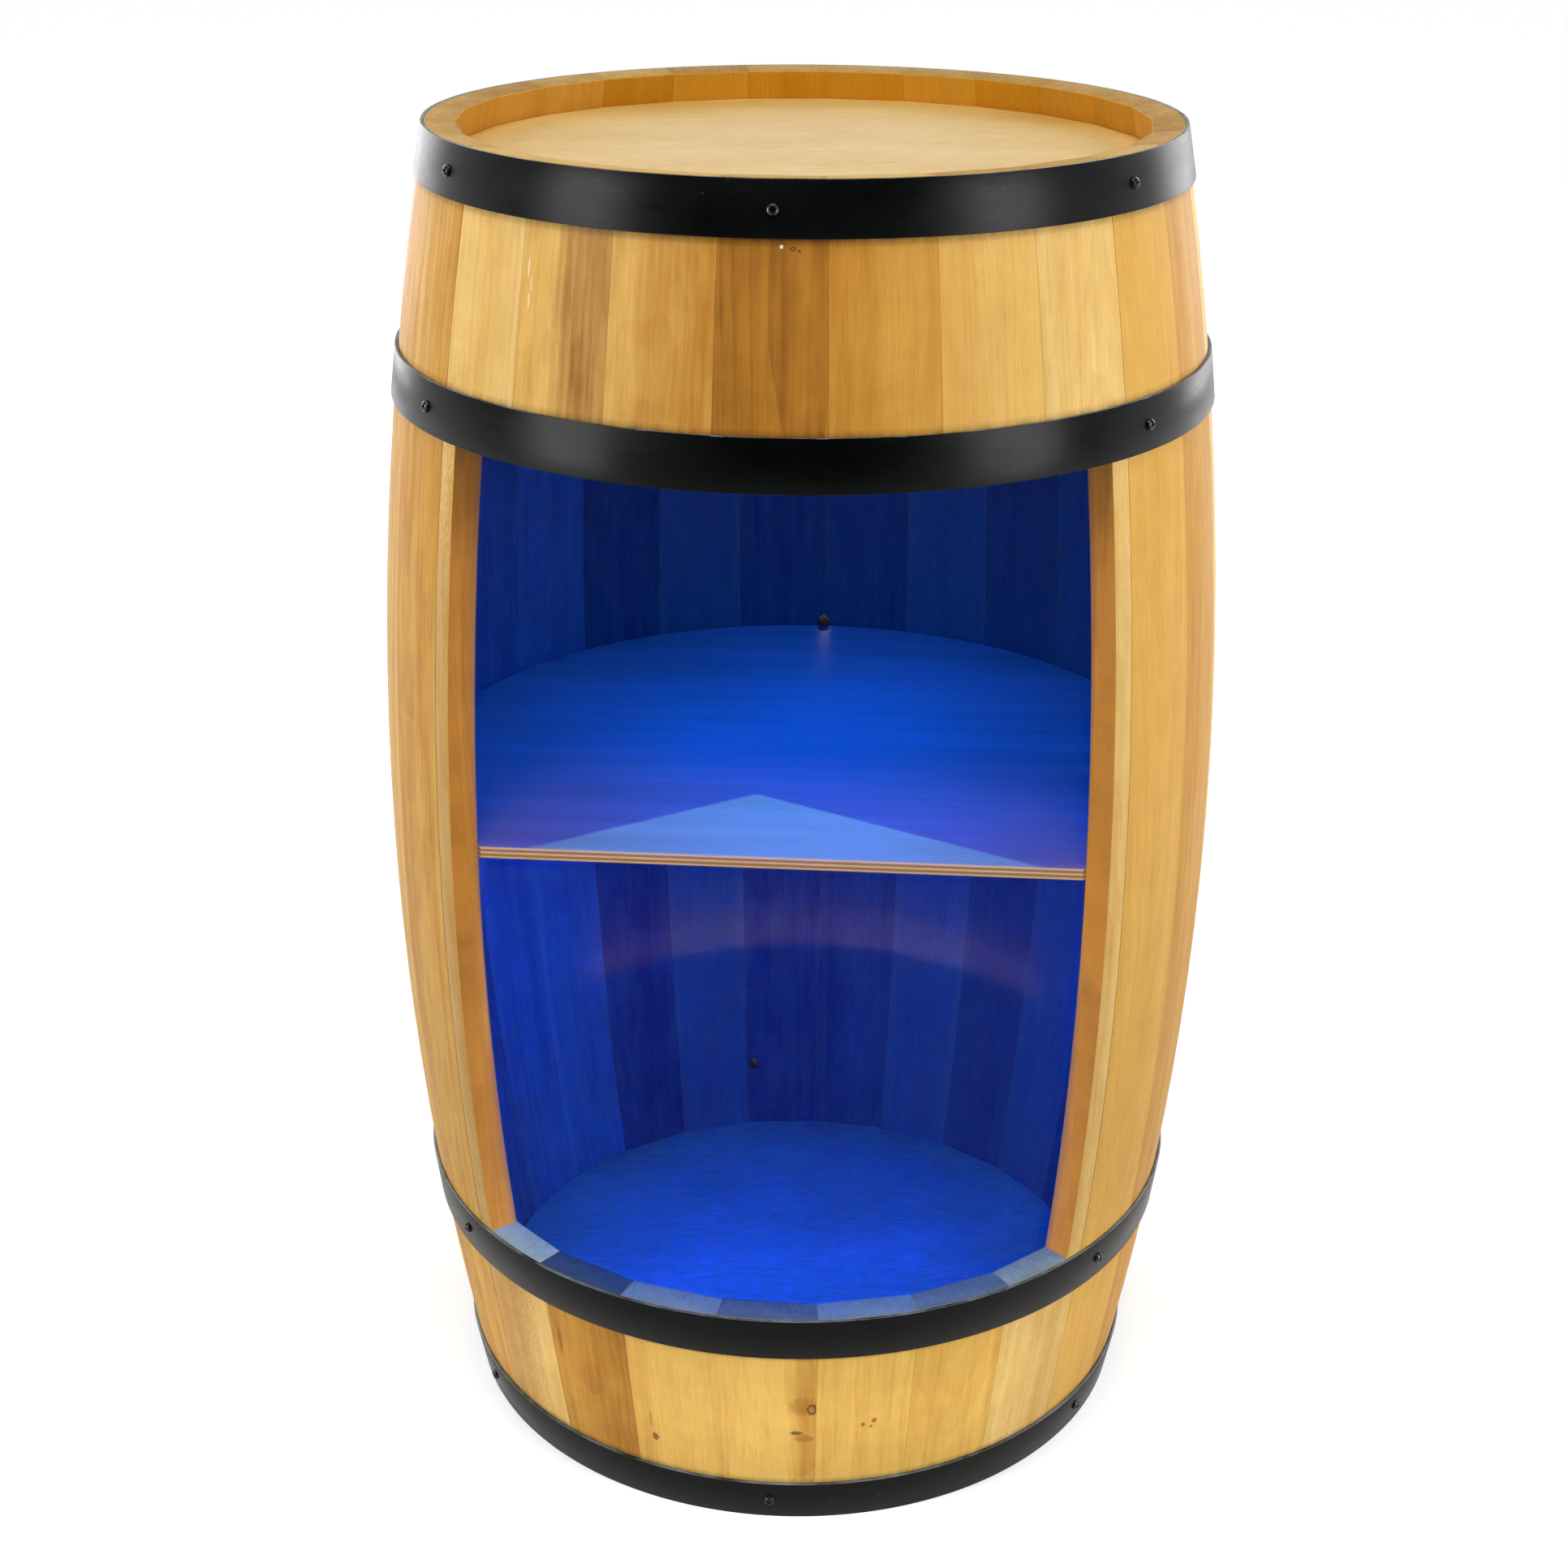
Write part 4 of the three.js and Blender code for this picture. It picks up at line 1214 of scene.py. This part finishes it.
tray_lamp = blue_disc(
    "tray_lamp", size=300 * MM, power=0.9, tint=(0.0, 0.042, 1.0), setback=45 * MM, height=745 * MM)
tray_lamp.data.spread = TRAY_LAMP_SPREAD
front_pieces = pieces_called("short_", "hoop_", "studio_")
link_light(tray_lamp, front_pieces, "EXCLUDE")
ledge_lamp = blue_disc(
    "ledge_lamp", size=150 * MM, power=2.0, tint=(0.0, 0.09, 1.0), setback=-60 * MM, height=395 * MM)
link_light(ledge_lamp, lower_staves + pieces_called("jamb_"), "INCLUDE")

projector = new_lamp(
    "projector", "SPOT", PROJECTOR_POWER, (0, AXIS_Y - PROJECTOR_SETOUT, PROJECTOR_HEIGHT))
projector.visible_camera = False
lamp = projector.data
lamp.color = PROJECTOR_TINT
lamp.spot_size = PROJECTOR_CONE
lamp.spot_blend = 0.0
lamp.shadow_soft_size = PROJECTOR_RADIUS
lamp.use_nodes = True
tree = lamp.node_tree
# the mask is worked out where the ray meets the top of the shelf
x, y, z = parts_of(tree, add(tree, "TexCoord").outputs["Normal"])
drop = SHELF_FACE - PROJECTOR_HEIGHT
across = calc(tree, "MULTIPLY_ADD", calc(tree, "DIVIDE", x, z), drop, -WEDGE_TIP[0])
ahead = calc(tree, "MULTIPLY_ADD", calc(tree, "DIVIDE", y, z), -drop, PROJECTOR_SETOUT + WEDGE_TIP[1])
left = calc(tree, "MULTIPLY_ADD", ahead, WEDGE_LEFT_RUN, across)
right = calc(tree, "SUBTRACT", calc(tree, "MULTIPLY", ahead, WEDGE_RIGHT_RUN), across)
mask = spread(tree, calc(tree, "MINIMUM", left, right), 0.0, WEDGE_SOFTNESS)
tree.links.new(mask, tree.nodes["Emission"].inputs["Strength"])
link_light(projector, pieces_called("shelf_plywood"), "INCLUDE")
for sleeve in pieces_called("led_strip"):
    link_light(sleeve, front_pieces + pieces_called("jamb_"), "EXCLUDE")

# The camera stands where the photograph was taken from, a little to the right and above. Its place,
# its turn and its lens were fitted to the photo.
PHOTO_WIDTH = 1932
FOCAL_LENGTH = 3047.9  # in pixels of the photo
SENSOR_WIDTH = 36
CAMERA_PLACE = (98.7 * MM, -1417.6 * MM, 1002.5 * MM)
CAMERA_HEADING = math.radians(4.39)
CAMERA_PITCH = math.radians(-23.32)
CAMERA_ROLL = math.radians(0.28)
camera_data = bpy.data.cameras.new("camera")
camera_data.lens = SENSOR_WIDTH * FOCAL_LENGTH / PHOTO_WIDTH
camera_data.sensor_width = SENSOR_WIDTH
camera = bpy.data.objects.new("camera", camera_data)
bpy.context.scene.collection.objects.link(camera)
right = Vector((math.cos(CAMERA_HEADING), math.sin(CAMERA_HEADING), 0))
ahead = Vector((-math.sin(CAMERA_HEADING), math.cos(CAMERA_HEADING), 0))
forward = math.cos(CAMERA_PITCH) * ahead + Vector((0, 0, math.sin(CAMERA_PITCH)))
up = right.cross(forward)
tilt = Matrix.Rotation(CAMERA_ROLL, 3, -forward)
turned = Matrix((tilt @ right, tilt @ up, -forward)).transposed().to_4x4()
camera.matrix_world = Matrix.Translation(CAMERA_PLACE) @ turned
bpy.context.scene.camera = camera
bpy.context.scene.view_settings.view_transform = "Standard"
